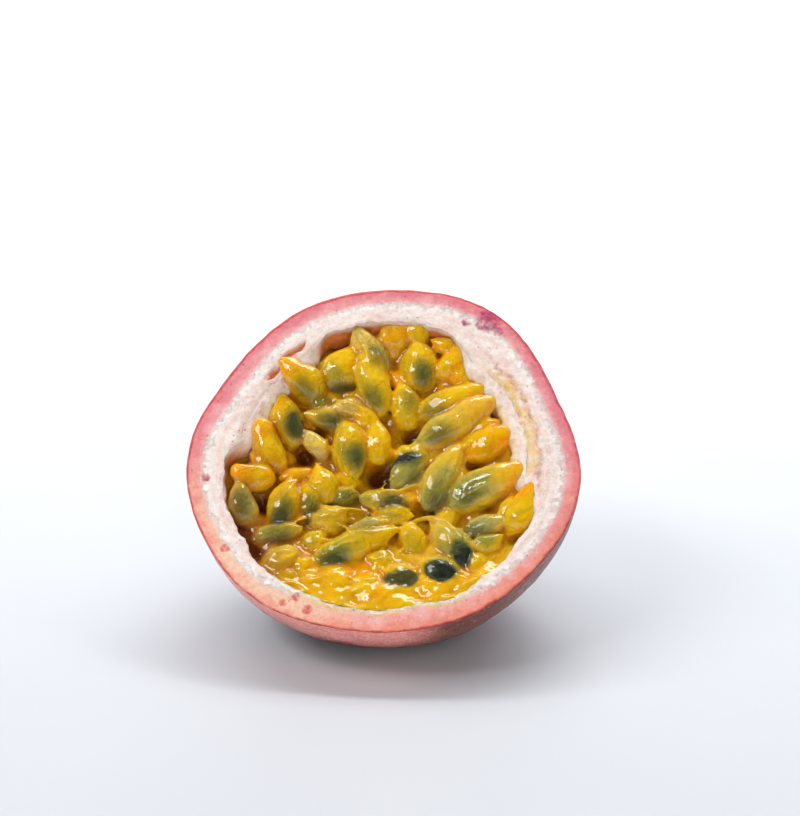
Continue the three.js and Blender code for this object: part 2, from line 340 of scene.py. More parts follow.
def buildFreckles():
    # round spots of uneven size on a grid of cells; Mask is 1 in a spot, Tone differs from spot to spot
    group, given, result = newGroup("freckles", {"Cell": 1.0, "Size": 0.2, "Share": 0.7}, ["Mask", "Tone"])
    scale = calc(group, "DIVIDE", 1000.0, given["Cell"])
    cells = addNode(group, "ShaderNodeTexVoronoi", {"Vector": given["Place"], "Scale": scale, "Randomness": 1.0})
    draws = addNode(group, "ShaderNodeSeparateColor", {"Color": cells.outputs["Color"]}).outputs
    reach = calc(group, "MULTIPLY_ADD", draws[0], given["Size"], times(group, given["Size"], 0.45))
    inside = spread(group, calc(group, "SUBTRACT", reach, cells.outputs["Distance"]), -0.06, 0.06)
    there = calc(group, "LESS_THAN", draws[1], given["Share"])
    setInputs(group, result, {"Mask": times(group, inside, there), "Tone": draws[2]})
    return group


def buildGrain():
    # fine unevenness at two sizes, as a height for a Bump node
    group, given, result = newGroup("grain", {"Coarse": 1.0, "Fine": 0.3, "Fine Share": 0.3}, ["Height"])
    coarse, fine = (noise(group, given["Place"], calc(group, "DIVIDE", 1000.0, given[key]))
                    for key in ("Coarse", "Fine"))
    mixed = addNode(group, "ShaderNodeMix", {0: given["Fine Share"], 2: coarse, 3: fine})
    setInputs(group, result, {"Height": mixed.outputs[0]})
    return group


frecklesGroup = buildFreckles()
grainGroup = buildGrain()


def freckles(tree, place, cell, size, share):  # the outputs of the group above, in a material
    inputs = {"Place": place, "Cell": cell, "Size": size, "Share": share}
    return addNode(tree, "ShaderNodeGroup", inputs, node_tree=frecklesGroup).outputs


def grainHeight(tree, place, coarse, fine, fineShare):  # lumps of two sizes, in millimetres
    inputs = {"Place": place, "Coarse": coarse, "Fine": fine, "Fine Share": fineShare}
    return addNode(tree, "ShaderNodeGroup", inputs, node_tree=grainGroup).outputs["Height"]


skinLook = {
    "dark": (0.07, 0.008, 0.016, 1),  # plum
    "red": (0.24, 0.022, 0.032, 1),
    "green": (0.15, 0.07, 0.022, 1),  # brown green
    "freckle": (0.55, 0.34, 0.14, 1),
    "pale": (0.86, 0.21, 0.2, 1),
    "paleFreckle": (1, 0.66, 0.55, 1),
    "spots": [(0.5, 0.28, 0.8, 0.75), (1.3, 0.16, 0.6, 0.85)],  # cell, size, share of cells with one, strength
}


def makeSkinMaterial():
    # patches of plum, red and brown green that pale at the low front, with speckles and two sizes of freckle
    material, tree, shader, place = newMaterial(
        "passion fruit skin",
        {"Roughness": 0.42, "Coat Weight": 0.25, "Coat Roughness": 0.25, "Subsurface Weight": 0.08,
         "Subsurface Radius": (1, 0.35, 0.25), "Subsurface Scale": 0.001},
    )
    look = skinLook
    colour = tint(tree, look["dark"], look["red"], cloud(tree, place, 14, 4, 0.6), 0.38, 0.62)
    colour = tint(tree, colour, look["green"], cloud(tree, place, 22, 3, 0.5, 0.6), 0.5, 0.7, 0.7)
    paling = spread(tree, ragged(tree, field(tree, "pale"), place, 0.3, 9, 4, 0.6), 0.1, 1, 0, 0.9)
    colour = blend(tree, paling, colour, look["pale"])
    freckle = blend(tree, paling, look["freckle"], look["paleFreckle"])
    speckled = spread(tree, cloud(tree, place, 0.42, 3, 0.7), 0.4, 0.64, 0, 0.65)
    colour = blend(tree, times(tree, speckled, paling), colour, freckle)
    for cell, size, share, strength in look["spots"]:
        spots = freckles(tree, place, cell, size, share)
        tone = times(tree, spots["Mask"], spread(tree, spots["Tone"], 0, 1, 0.25, strength))
        colour = blend(tree, tone, colour, freckle)
    height = grainHeight(tree, place, 1.5, 0.35, 0.3)
    setInputs(tree, shader, {"Base Color": colour, "Normal": bump(tree, height, 0.12)})
    return material


fleshLook = {
    "edge": (0.5, 0.07, 0.07, 1),
    "rose": (0.72, 0.21, 0.25, 1),
    "salmon": (0.8, 0.27, 0.2, 1),
    "blush": (0.86, 0.5, 0.47, 1),
    "pale": (0.86, 0.56, 0.4, 1),
    "pith": (0.85, 0.76, 0.7, 1),
    "foam": (0.9, 0.87, 0.84, 1),
    "cream": (0.86, 0.7, 0.45, 1),
    "veil": (0.84, 0.62, 0.56, 1),  # pinkish white
    "juice": (0.8, 0.5, 0.06, 1),
    "stain": (0.56, 0.24, 0.18, 1),
    "amber": (0.76, 0.2, 0.006, 1),
    "bruise": (0.36, 0.01, 0.1, 1),
    "redBruise": (0.6, 0.02, 0.02, 1),
    "speck": (0.05, 0.03, 0.03, 1),
    # cell, size, share of cells with a speck, colour
    "specks": [(3.4, 0.05, 0.35, "speck"), (1.5, 0.11, 0.3, "stain"), (0.8, 0.15, 0.16, "bruise")],
}


def makeFleshMaterial():
    # pink under the skin, then ragged white pith, then cream and amber down the wall
    material, tree, shader, place = newMaterial(
        "passion fruit flesh",
        {"Subsurface Weight": 0.55, "Subsurface Radius": (1, 0.5, 0.35), "Subsurface Scale": 0.0012,
         "Coat Weight": 0.2, "Coat Roughness": 0.2},
    )
    look = fleshLook
    across, pith, inner, lowSide, bruised = (
        field(tree, name) for name in ("across", "pith", "inner", "lowSide", "bruise"))
    # pink: rose at the skin, blush near the pith, more salmon at the low side
    colour = tint(tree, look["rose"], look["salmon"], lowSide, 0, 1)
    paling = ragged(tree, calc(tree, "DIVIDE", across, 4.2), place, 0.28, 2.2, 4, 0.6)
    colour = tint(tree, colour, look["blush"], paling, 0.15, 0.95)
    paleSide = times(tree, field(tree, "paleSide"), spread(tree, paling, -0.1, 0.35))
    colour = blend(tree, paleSide, colour, look["pale"])
    # the ragged edge of the white pith
    torn = spread(tree, cloud(tree, place, 1.4, 6, 0.75), 0.28, 0.72, -1.2, 1.2)
    whiteness = spread(tree, plus(tree, pith, torn), -0.25, 0.35)
    colour = blend(tree, whiteness, colour, look["pith"])
    # cream pads further in, pink veins that run round the ring, then juice and stains
    inside = ragged(tree, inner, place, 0.7, 2.5)
    colour = tint(tree, colour, look["cream"], inside, 0.0, 2.2, 0.8)
    bands = noise(tree, field(tree, "streak", "Vector"), 1.0, 4.0, 0.6)
    veil = times(tree, spread(tree, bands, 0.42, 0.62), spread(tree, whiteness, 0.2, 1, 0, 0.9))
    colour = blend(tree, veil, colour, look["veil"])
    wet = ragged(tree, field(tree, "wet"), place, 0.5, 1.8, 4, 0.6)
    colour = tint(tree, colour, look["juice"], wet, 0.3, 1.1, 0.75)
    patches = spread(tree, cloud(tree, place, 1.6, 5, 0.7), 0.35, 0.65)
    colour = blend(tree, times(tree, field(tree, "stain"), patches), colour, look["stain"])
    colour = blend(tree, times(tree, field(tree, "amber"), 0.9), colour, look["amber"])
    foam = times(tree, spread(tree, pith, 0.1, 1.6, 1, 0), spread(tree, pith, -0.6, 0.3))
    colour = blend(tree, times(tree, foam, 0.7), colour, look["foam"])
    mottled = spread(tree, cloud(tree, place, 0.7, 5, 0.8), 0.32, 0.68, 0.8, 1.06)
    grey = addNode(tree, "ShaderNodeCombineColor", {0: mottled, 1: mottled, 2: mottled}).outputs[0]
    colour = blend(tree, 1.0, colour, grey, "MULTIPLY")
    # the skin's thin dark line, the bruises and a few specks
    rimLine = ragged(tree, across, place, 0.2, 1.2)
    colour = blend(tree, spread(tree, rimLine, 0.05, 0.45, 0.9, 0), colour, look["edge"])
    blotch = times(tree, ragged(tree, bruised, place, 0.7, 1.1, 4, 0.6), spread(tree, bruised, 0, 0.5))
    bruise = tint(tree, look["bruise"], look["redBruise"], lowSide, 0.3, 0.7)
    colour = blend(tree, times(tree, spread(tree, blotch, 0.25, 1.3), 0.85), colour, bruise)
    for cell, size, share, key in look["specks"]:
        specks = freckles(tree, place, cell, size, share)
        colour = blend(tree, times(tree, specks["Mask"], 0.6), colour, look[key])
    # crumbly on the pith, smoother on the pads
    rough = spread(tree, whiteness, 0, 1, 0.35, 0.55)
    crumbly = times(tree, spread(tree, inner, -0.3, 0.8, 1.0, 0.4), spread(tree, whiteness, 0, 1, 0.5, 1.0))
    height = times(tree, grainHeight(tree, place, 0.9, 0.25, 0.35), crumbly)
    setInputs(tree, shader, {"Base Color": colour, "Roughness": rough, "Normal": bump(tree, height, 0.45)})
    return material


pulpLook = {
    "yellow": (0.74, 0.45, 0.004, 1),
    "orange": (0.86, 0.33, 0.001, 1),
    "olive": (0.31, 0.275, 0.03, 1),
    # painted shade: the ochre brown goes in the creases and the amber in the valleys
    "creaseShade": (0.46, 0.18, 0.001, 1),
    "amber": (0.4, 0.12, 0.001, 1),
    "glass": (0.36, 0.27, 0.004, 1),  # clearer and darker streaks
    "bright": (0.86, 0.6, 0.01, 1),
    "milk": (0.6, 0.56, 0.34, 1),
    "seedShade": (0.03, 0.055, 0.026, 1),
    # painted shade in the deepest gaps
    "deepShade": (0.12, 0.022, 0.001, 1),
    "streakScale": (0.16, 0.45, 0.4),  # of the broad streaks: round a sac, along it, from sac to sac
}


def makePulpMaterial():
    # wet skins: each sac's tone from olive to orange, streaked along it, with painted shade in creases, valleys
    # and gaps, and darker over seeds
    material, tree, shader, place = newMaterial(
        "passion fruit pulp",
        {"Roughness": 0.3, "IOR": 1.36, "Specular IOR Level": 0.3, "Subsurface Weight": 0.85,
         "Subsurface Radius": (0.9, 0.66, 0.06), "Subsurface Scale": 0.001, "Coat Weight": 1.0,
         "Coat Roughness": 0.03, "Coat IOR": 1.65},
    )
    look = pulpLook
    crease = field(tree, "crease")
    tone = ragged(tree, field(tree, "tone"), place, 0.4, 4, 4, 0.6)
    # painted shade and light: more orange in the creases, more yellow on the ridges
    tone = plus(tree, tone, spread(tree, crease, -0.3, 1.0, -0.18, 0.45))
    colour = tint(tree, look["yellow"], look["orange"], tone, 0.1, 0.95)
    colour = tint(tree, colour, look["olive"], tone, -0.1, -0.8)
    milky = spread(tree, cloud(tree, place, 1.3, 4, 0.6), 0.3, 0.7, 0.3, 1.0)
    colour = blend(tree, times(tree, field(tree, "milk"), milky), colour, look["milk"])
    grain = field(tree, "grain", "Vector")
    wide = addNode(tree, "ShaderNodeMapping", {"Vector": grain, "Scale": look["streakScale"]}).outputs[0]
    broad = noise(tree, wide, 1.0, 5.0, 0.5, 1.0)
    colour = tint(tree, colour, look["glass"], broad, 0.5, 0.75, 0.35)
    colour = tint(tree, colour, look["bright"], broad, 0.48, 0.3, 0.45)
    # painted shade: ochre brown in the creases, amber in the wide valleys
    colour = tint(tree, colour, look["creaseShade"], crease, 0.1, 1.4, 0.75)
    colour = tint(tree, colour, look["amber"], field(tree, "valley"), -0.05, 0.7, 0.85)
    seedShade = ragged(tree, field(tree, "seedShade"), place, 0.12, 2)
    colour = tint(tree, colour, look["seedShade"], seedShade, 0.05, 0.95, 0.9)
    # painted shade: dark brown in the deep gaps, under the rim at the lower left and in the sharpest creases
    dark = plus(tree, field(tree, "deepShade"), spread(tree, crease, 0.9, 2.2, 0, 0.6))
    colour = tint(tree, colour, look["deepShade"], dark, 0, 1)
    # heights: soft lumps, fibres where the skin is wrinkled, thin skins pulled into sharp creases, fine bumps
    lively = spread(tree, field(tree, "calm"), 0, 1, 1, 0.25)
    lumps = grainHeight(tree, place, 2.5, 0.9, 0.2)
    shaped = bump(tree, times(tree, lumps, lively), 0.24, 0.7)
    folded = plus(tree, field(tree, "wrinkles"), 0.08)
    wrinkled = times(tree, folded, spread(tree, cloud(tree, place, 3.0, 2), 0.35, 0.6))
    shaped = bump(tree, times(tree, noise(tree, grain, 1.0), wrinkled), 0.32, 0.7, shaped)
    ridge = calc(tree, "ABSOLUTE", calc(tree, "SUBTRACT", cloud(tree, place, 2.4, 2, 0.5, 0.8), 0.5))
    ridge = times(tree, spread(tree, ridge, 0, 0.1), spread(tree, cloud(tree, place, 6, 2), 0.36, 0.5))
    shaped = bump(tree, times(tree, ridge, lively), 0.22, 0.6, shaped)
    fine = times(tree, cloud(tree, place, 0.75), spread(tree, cloud(tree, place, 4, 2), 0.35, 0.52))
    shaped = bump(tree, times(tree, fine, lively), 0.36, 0.8, shaped)
    setInputs(tree, shader, {"Base Color": colour, "Normal": shaped})
    return material


seedLook = {
    "dark": (0.006, 0.009, 0.006, 1),
    "light": (0.025, 0.034, 0.02, 1),
    "pit": (0.003, 0.004, 0.003, 1),
    "film": (0.06, 0.085, 0.025, 1),  # the juice over its edge and tail
}


def makeSeedMaterial():
    # black green, finely pitted, under a film of juice
    material, tree, shader, place = newMaterial(
        "passion fruit seed",
        {"Roughness": 0.3, "Coat Weight": 0.8, "Coat Roughness": 0.06, "Specular IOR Level": 0.5},
    )
    look = seedLook
    colour = tint(tree, look["dark"], look["light"], cloud(tree, place, 1.2, 4), 0.35, 0.65)
    pits = freckles(tree, place, 0.42, 0.3, 0.9)["Mask"]
    colour = blend(tree, times(tree, pits, 0.5), colour, look["pit"])
    film = ragged(tree, field(tree, "film"), place, 0.25, 1.0, 3)
    colour = tint(tree, colour, look["film"], film, 0.2, 1.0, 0.9)
    shaped = bump(tree, calc(tree, "SUBTRACT", 1.0, pits), 0.08, 0.7)
    setInputs(tree, shader, {"Base Color": colour, "Normal": shaped})
    return material


stalkLook = {
    "dark": (0.16, 0.09, 0.035, 1),
    "light": (0.34, 0.24, 0.11, 1),
    "fleck": (0.07, 0.045, 0.025, 1),
}


def makeStalkMaterial():
    # dry brown wood with dark flecks
    material, tree, shader, place = newMaterial("passion fruit stalk", {"Roughness": 0.75})
    look = stalkLook
    colour = tint(tree, look["dark"], look["light"], cloud(tree, place, 1.4, 5, 0.7), 0.35, 0.65)
    colour = tint(tree, colour, look["fleck"], cloud(tree, place, 0.6, 4), 0.5, 0.65, 0.6)
    height = grainHeight(tree, place, 0.8, 0.25, 0.4)
    setInputs(tree, shader, {"Base Color": colour, "Normal": bump(tree, height, 0.25)})
    return material


skinMaterial = makeSkinMaterial()
stalkMaterial = makeStalkMaterial()
fleshMaterial = makeFleshMaterial()
pulpMaterial = makePulpMaterial()
seedMaterial = makeSeedMaterial()
print("materials ready")


rind = {
    "columns": 420,  # round the fruit
    "skinRows": 70,
    "skinStart": 0.004,  # the first row, as a share of the way from the stem end to the cut
    "skinCloser": 1.3,  # over 1 puts the rows closer together near the cut
    "dents": 0.0022,  # how deep the skin's dents are, as a share of the fruit
    "pores": 0.0012,  # and the finer ones
    "ringRows": 46,
    "wallRows": 52,  # down to the fine depth
    "fineDepth": 8.5,
    "bowlRows": 12,
    "pinkWidth": 3.0,
    "leastPith": 0.5,
    "mouthWaves": [(0.28, 5.5, 7), (0.1, 1.3, 8)],  # of the opening's edge: height, size, seed
    "edgeDrop": 0.3,  # how far the ring's outer edge is rounded down
    "mouthDrop": 0.2,  # and its inner edge
    "slope": 0.5,  # how much lower the ring lies inside the groove
    "slitDepth": 0.9,
    "grooveDepth": 0.2,
    "grooveRadius": 24.4,  # of the groove between the ring and the pads
    "grooveWidth": 0.4,
    "grooveWaves": [(0.25, 4, 17), (0.2, 1.2, 18)],
    "grooves": [(18, 38), (136, 14)],  # where the groove inside the ring shows: angle, half width
}
bruises = [(15.4, 25.2, 3.0), (12.0, 25.0, 1.2), (17.2, 23.2, 1.2), (-11.3, -24.9, 1.0), (-9.5, -26.8, 1.1),
           (-13.3, -25.9, 0.9), (-27.6, -5.2, 1.0), (-23, -17.4, 1.0), (-0.6, -26.1, 0.8)]  # x, y, radius

slits = [(-14.5, 20.1, -17.6, 17.1, 0.6), (-18.2, 15.3, -19.6, 13.2, 0.75),
         (-21.2, 6.4, -21.7, 3.4, 0.5)]  # open slits inside the ring: start and end x and y, width


def nearLine(points, line):  # 1 on a line between two places of the cut, 0 beyond its width
    start, along, width = np.array(line[:2]), np.array(line[2:4]) - line[:2], line[4]
    share = np.clip(((points[..., :2] - start) @ along) / (along @ along), 0, 1)
    away = np.linalg.norm(points[..., :2] - start - share[..., None] * along, axis=-1)
    away = away + 0.12 * swell(points, 1.5, 19)
    return 1 - smoothStep(away, 0.35 * width, width * (0.6 + 0.8 * share * (1 - share) * 2))


def skinRows(angle):
    # from the stem end to the cut, with shallow dents that leave the stem end as it is
    climb = np.linspace(rind["skinStart"], 1, rind["skinRows"])[:, None]
    turn = math.pi / 2 * (1 - (1 - climb) ** rind["skinCloser"])
    skin = skinPoint(turn, angle)
    skin[..., :2] *= half["inside"]
    skin *= (1 + rind["dents"] * (swell(skin, 11, 5) - 1) * np.sin(turn) ** 2)[..., None]
    return skin * (1 + rind["pores"] * (swell(skin, 2.2, 6) - 1))[..., None]


def wallDepths():
    # fine rows down the wall to the fine depth, a little closer together at the top, then coarse ones
    fine = np.linspace(0, 1, rind["wallRows"] + 1)[1:, None] ** 1.25 * rind["fineDepth"]
    coarse = np.linspace(0, 1, rind["bowlRows"] + 1)[1:, None] ** 0.7
    deepest = hollow["depth"] * 0.9995
    return np.vstack([fine, rind["fineDepth"] + coarse * (deepest - rind["fineDepth"])])


def makeRind():
    # one closed surface of three grids of rows that run round the fruit: skin, ring and wall
    angle = fullTurn(rind["columns"])[None, :]
    skin = skinRows(angle)
    # ring: straight from the skin's edge to the opening
    rim = skin[-1]
    mouthOut = swells(hollowPoint(0.0, angle[0]), rind["mouthWaves"])
    mouth = hollowPoint(0.0, angle[0], mouthOut)
    share = np.linspace(0, 1, rind["ringRows"] + 1)[1:, None, None]
    ring = rim[None] * (1 - share) + mouth[None] * share
    width = np.linalg.norm(mouth - rim, axis=-1)[None, :]
    across = share[..., 0] * width
    # the pink layer is narrower at the left, wider at the bottom
    pinkWidth = rind["pinkWidth"] - 0.4 * np.cos(angle) - 0.25 * np.sin(angle)
    pinkWidth = pinkWidth - 0.8 * near(angle, 205, 0.2, 0.9)
    pinkWidth = pinkWidth + 0.9 * near(angle, 268, 0.3, 0.7)
    pinkWidth = np.minimum(pinkWidth, width - rind["leastPith"])
    pith = across - pinkWidth
    onPith = smoothStep(pith, -0.5, 0.6)
    fromMiddle = np.hypot(ring[..., 0], (ring[..., 1] - hollow["shift"]) / hollow["stretch"])
    fromGroove = fromMiddle - rind["grooveRadius"] - swells(ring, rind["grooveWaves"])
    nearGroove = sum(near(angle, place, math.radians(0.6 * wide), math.radians(wide))
                     for place, wide in rind["grooves"])
    grooved = np.exp(-((fromGroove / rind["grooveWidth"]) ** 2)) * nearGroove
    opened = np.max([nearLine(ring, line) for line in slits], axis=0)
    # its height: smooth on the pink, crumbly on the pith, lower at its edges, in the groove and in the slits
    crumbs = swell(ring, 0.9, 9) * 0.5 + swell(ring, 2.1, 10)
    ring[..., 2] = (
        -rind["edgeDrop"] * np.exp(-((across / 0.22) ** 2))
        - rind["slitDepth"] * opened
        + 0.1 * (swell(ring, 9, 11) - 1.2)
        + 0.03 * (swell(ring, 1.4, 12) - 1) * (1 - onPith)
        + 0.07 * (crumbs - 1) * onPith
        - rind["grooveDepth"] * grooved
        - rind["slope"] * smoothStep(rind["grooveRadius"] - fromMiddle, 0, 2)
        - rind["mouthDrop"] * smoothStep(across, width - 0.6, width)
    )
    # wall: down the hollow, over the pads, with the mouth's waves fading
    depth = wallDepths()
    smooth = hollowPoint(depth, angle)
    onPad = smoothStep(padHeight(angle, depth), 0.4, 3.0)
    fibres = swell(smooth * [1, 1, 0.22], 1.1, 13)
    fade = 1 - smoothStep(depth, 8, 12)
    rough = -onPad * (0.14 * swell(smooth, 3.6, 14) + 0.1 * fibres) - 0.1 * swell(smooth, 1.8, 16)
    wall = hollowPoint(depth, angle, np.exp(-depth / 0.8) * mouthOut[None, :] + fade * rough)
    wall[..., 2] += ring[-1, :, 2] * np.exp(-depth / 1.2)
    points = np.concatenate([skin, ring, wall])

    def rowsOf(*values):  # one grid from the values on the skin, on the ring and on the wall
        parts = zip(values, (skin, ring, wall))
        return np.vstack([np.broadcast_to(value, part.shape[:2]) for value, part in parts])

    soaked = near(angle, 276, 0.45, 0.7) * smoothStep(across - width, -1.3, -0.9)
    soaked = soaked + 0.85 * near(angle, 20, 0.35, 0.65) * smoothStep(across - width, -3.5, -0.5)
    stains = [1 - smoothStep(np.hypot(points[..., 0] - x, points[..., 1] - y), 0.5 * radius, radius)
              for x, y, radius in bruises]
    fields = {
        "across": rowsOf(0, across, width + depth),
        "pith": rowsOf(-3, pith, 3),
        "inner": rowsOf(-3, 0.6 * (rind["grooveRadius"] - fromMiddle), depth * (0.35 + 0.65 * onPad)),
        "stain": rowsOf(0, grooved, 0),
        "wet": rowsOf(0, soaked, smoothStep(depth, 0.9, 3.0) * (0.55 + 0.5 * (angleBetween(angle, 0.4) < 0.9))),
        "amber": rowsOf(0, opened, (1 - onPad) * smoothStep(depth, 0.7, 2.2)),
        "bruise": np.max(stains, axis=0) * (points[..., 2] > -3),
        "lowSide": smoothStep(-points[..., 1], -12, 24),
        "paleSide": near(angle, 228, 0.2, 0.85) + 0 * points[..., 2],
        "pale": smoothStep(points[..., 2], -12, -2) * rowsOf(1, 0, 0) * near(angle, 240, 0.45, 1.1),
    }
    # streaks run round the ring
    streak = [rowsOf(*[6 * np.cos(angle)] * 3), rowsOf(*[6 * np.sin(angle)] * 3), 1.1 * fields["across"]]
    streak = np.stack(streak, axis=-1).reshape(-1, 3)
    ends = {key: np.concatenate([values.ravel(), [values[0].mean(), values[-1].mean()]])
            for key, values in fields.items()}
    ends["streak"] = np.vstack([streak, streak[:1], streak[-1:]])
    allPoints, quads, triangles = closedGrid(points)
    mesh = makeMesh("rindBody", stand(allPoints, True), quads, triangles, ends)
    # the skin's material up to the rim, the flesh's beyond it; the two end fans come last
    rowOf = np.concatenate([np.arange(len(points) - 1), [0, len(points)]]).repeat(rind["columns"])
    mesh.polygons.foreach_set("material_index", (rowOf >= len(skin) - 1).astype(np.int32))
    mesh.update()
    addPiece("rindBody", mesh, "rind", [skinMaterial, fleshMaterial])


makeRind()
print("rind ready")


stalk = {
    "radius": 1.9,
    "length": 5.6,
    "sunk": 2.4,  # into the fruit
    "narrow": 0.78,  # its width at the cut end, and at the fruit, over the plain one
    "flare": 1.46,
    "rings": 60,
    "columns": 48,
    "cutRings": 8,  # on the cut end
    "cutHeight": 0.12,  # of its middle
}


def makeStalk():
    # a stub out of the dimple: circles that widen to a knot at the fruit, with ribs and an uneven cut end
    share = np.linspace(0, 1, stalk["rings"])[:, None]
    angle = fullTurn(stalk["columns"])[None, :]
    start = skinPoint(np.zeros((1, 1)), np.zeros((1, 1)))[0, 0, 2] + stalk["sunk"] - stalk["length"]
    out = smoothStep(share, 0, 0.06)  # the rim of the cut end is rounded
    wider = stalk["narrow"] + (stalk["flare"] - stalk["narrow"]) * smoothStep(share, 0.35, 0.95)
    ribs = 1 + 0.05 * np.cos(5 * angle + 2 * share) + 0.03 * np.cos(11 * angle)
    radius = stalk["radius"] * wider * (0.85 + 0.15 * out) * ribs
    z = start + 0.1 + share * stalk["length"] * 0.98
    points = np.stack([radius * np.cos(angle), radius * np.sin(angle), z + 0 * angle], axis=-1)
    points[..., :2] *= (1 + 0.06 * (swell(points, 1.3, 71) - 1) / stalk["radius"])[..., None]
    points[..., 2] += 0.07 * (swell(points, 1.2, 72) + 0.5) * (1 - out)
    cut = points[0]
    outwards = np.linspace(0.08, 0.92, stalk["cutRings"])[:, None]
    rings = cut.mean(axis=0) + (cut - cut.mean(axis=0))[None] * outwards[..., None]
    rings[..., 2] += stalk["cutHeight"] * (1 - outwards) ** 2
    allPoints, quads, triangles = closedGrid(np.concatenate([rings, points]))
    mesh = makeMesh("stalkStub", stand(allPoints), quads, triangles)
    addPiece("stalkStub", mesh, None, [stalkMaterial])


makeStalk()
print("stalk ready")


bowl = {
    "rimDepth": 0.9,  # the top of the pulp below the cut, at the rim
    "depth": 2.8,  # and this much more in the middle
    "radius": 26,
    "bedDrop": 2.5,  # from the tops of the sacs to the juice between them
    "poolRise": 3.2,  # the juice stands this much higher at the low side
    "rightRise": 1.2,  # and here at the right
    "poolStart": -6,
    "poolFull": -26,
    "waves": [(0.14, 4.5, 31)],  # of the juice: height, size, seed, and more at the low side
    "poolWaves": [(0.3, 3.4, 32), (0.14, 1.4, 33)],
    "floor": 11.0,
    "edgeDepth": 3.0,  # of a fold where it runs past the heap's edge
    "rows": 70,
    "columns": 200,
}
sac = {
    "flatness": 0.88,
    "lean": 1.28,  # over 1 moves the crown of a drop towards its end
    "tailPowers": (1.15, 0.42),  # 1 is a plain half wave, less is fuller: slender and blunt tails
    "endPower": 0.5,
    "leastStretch": 1.3,
    "sightX": 0.107,  # the line of sight: x and y for each millimetre of height
    "sightY": -0.547,
    "probe": (-0.107, -0.547, 1),  # the line along which seeds and folds are laid on the sacs
    "bend": 0.5,  # sideways, at most
    "lumps": (0.22, 5.5),  # height and size of its unevenness, and of the finer folds along it
    "folds": (0.05, 1.5),
    "rows": 34,
    "columns": 40,
    "voxel": 0.24,
    "triangles": 190000,
}
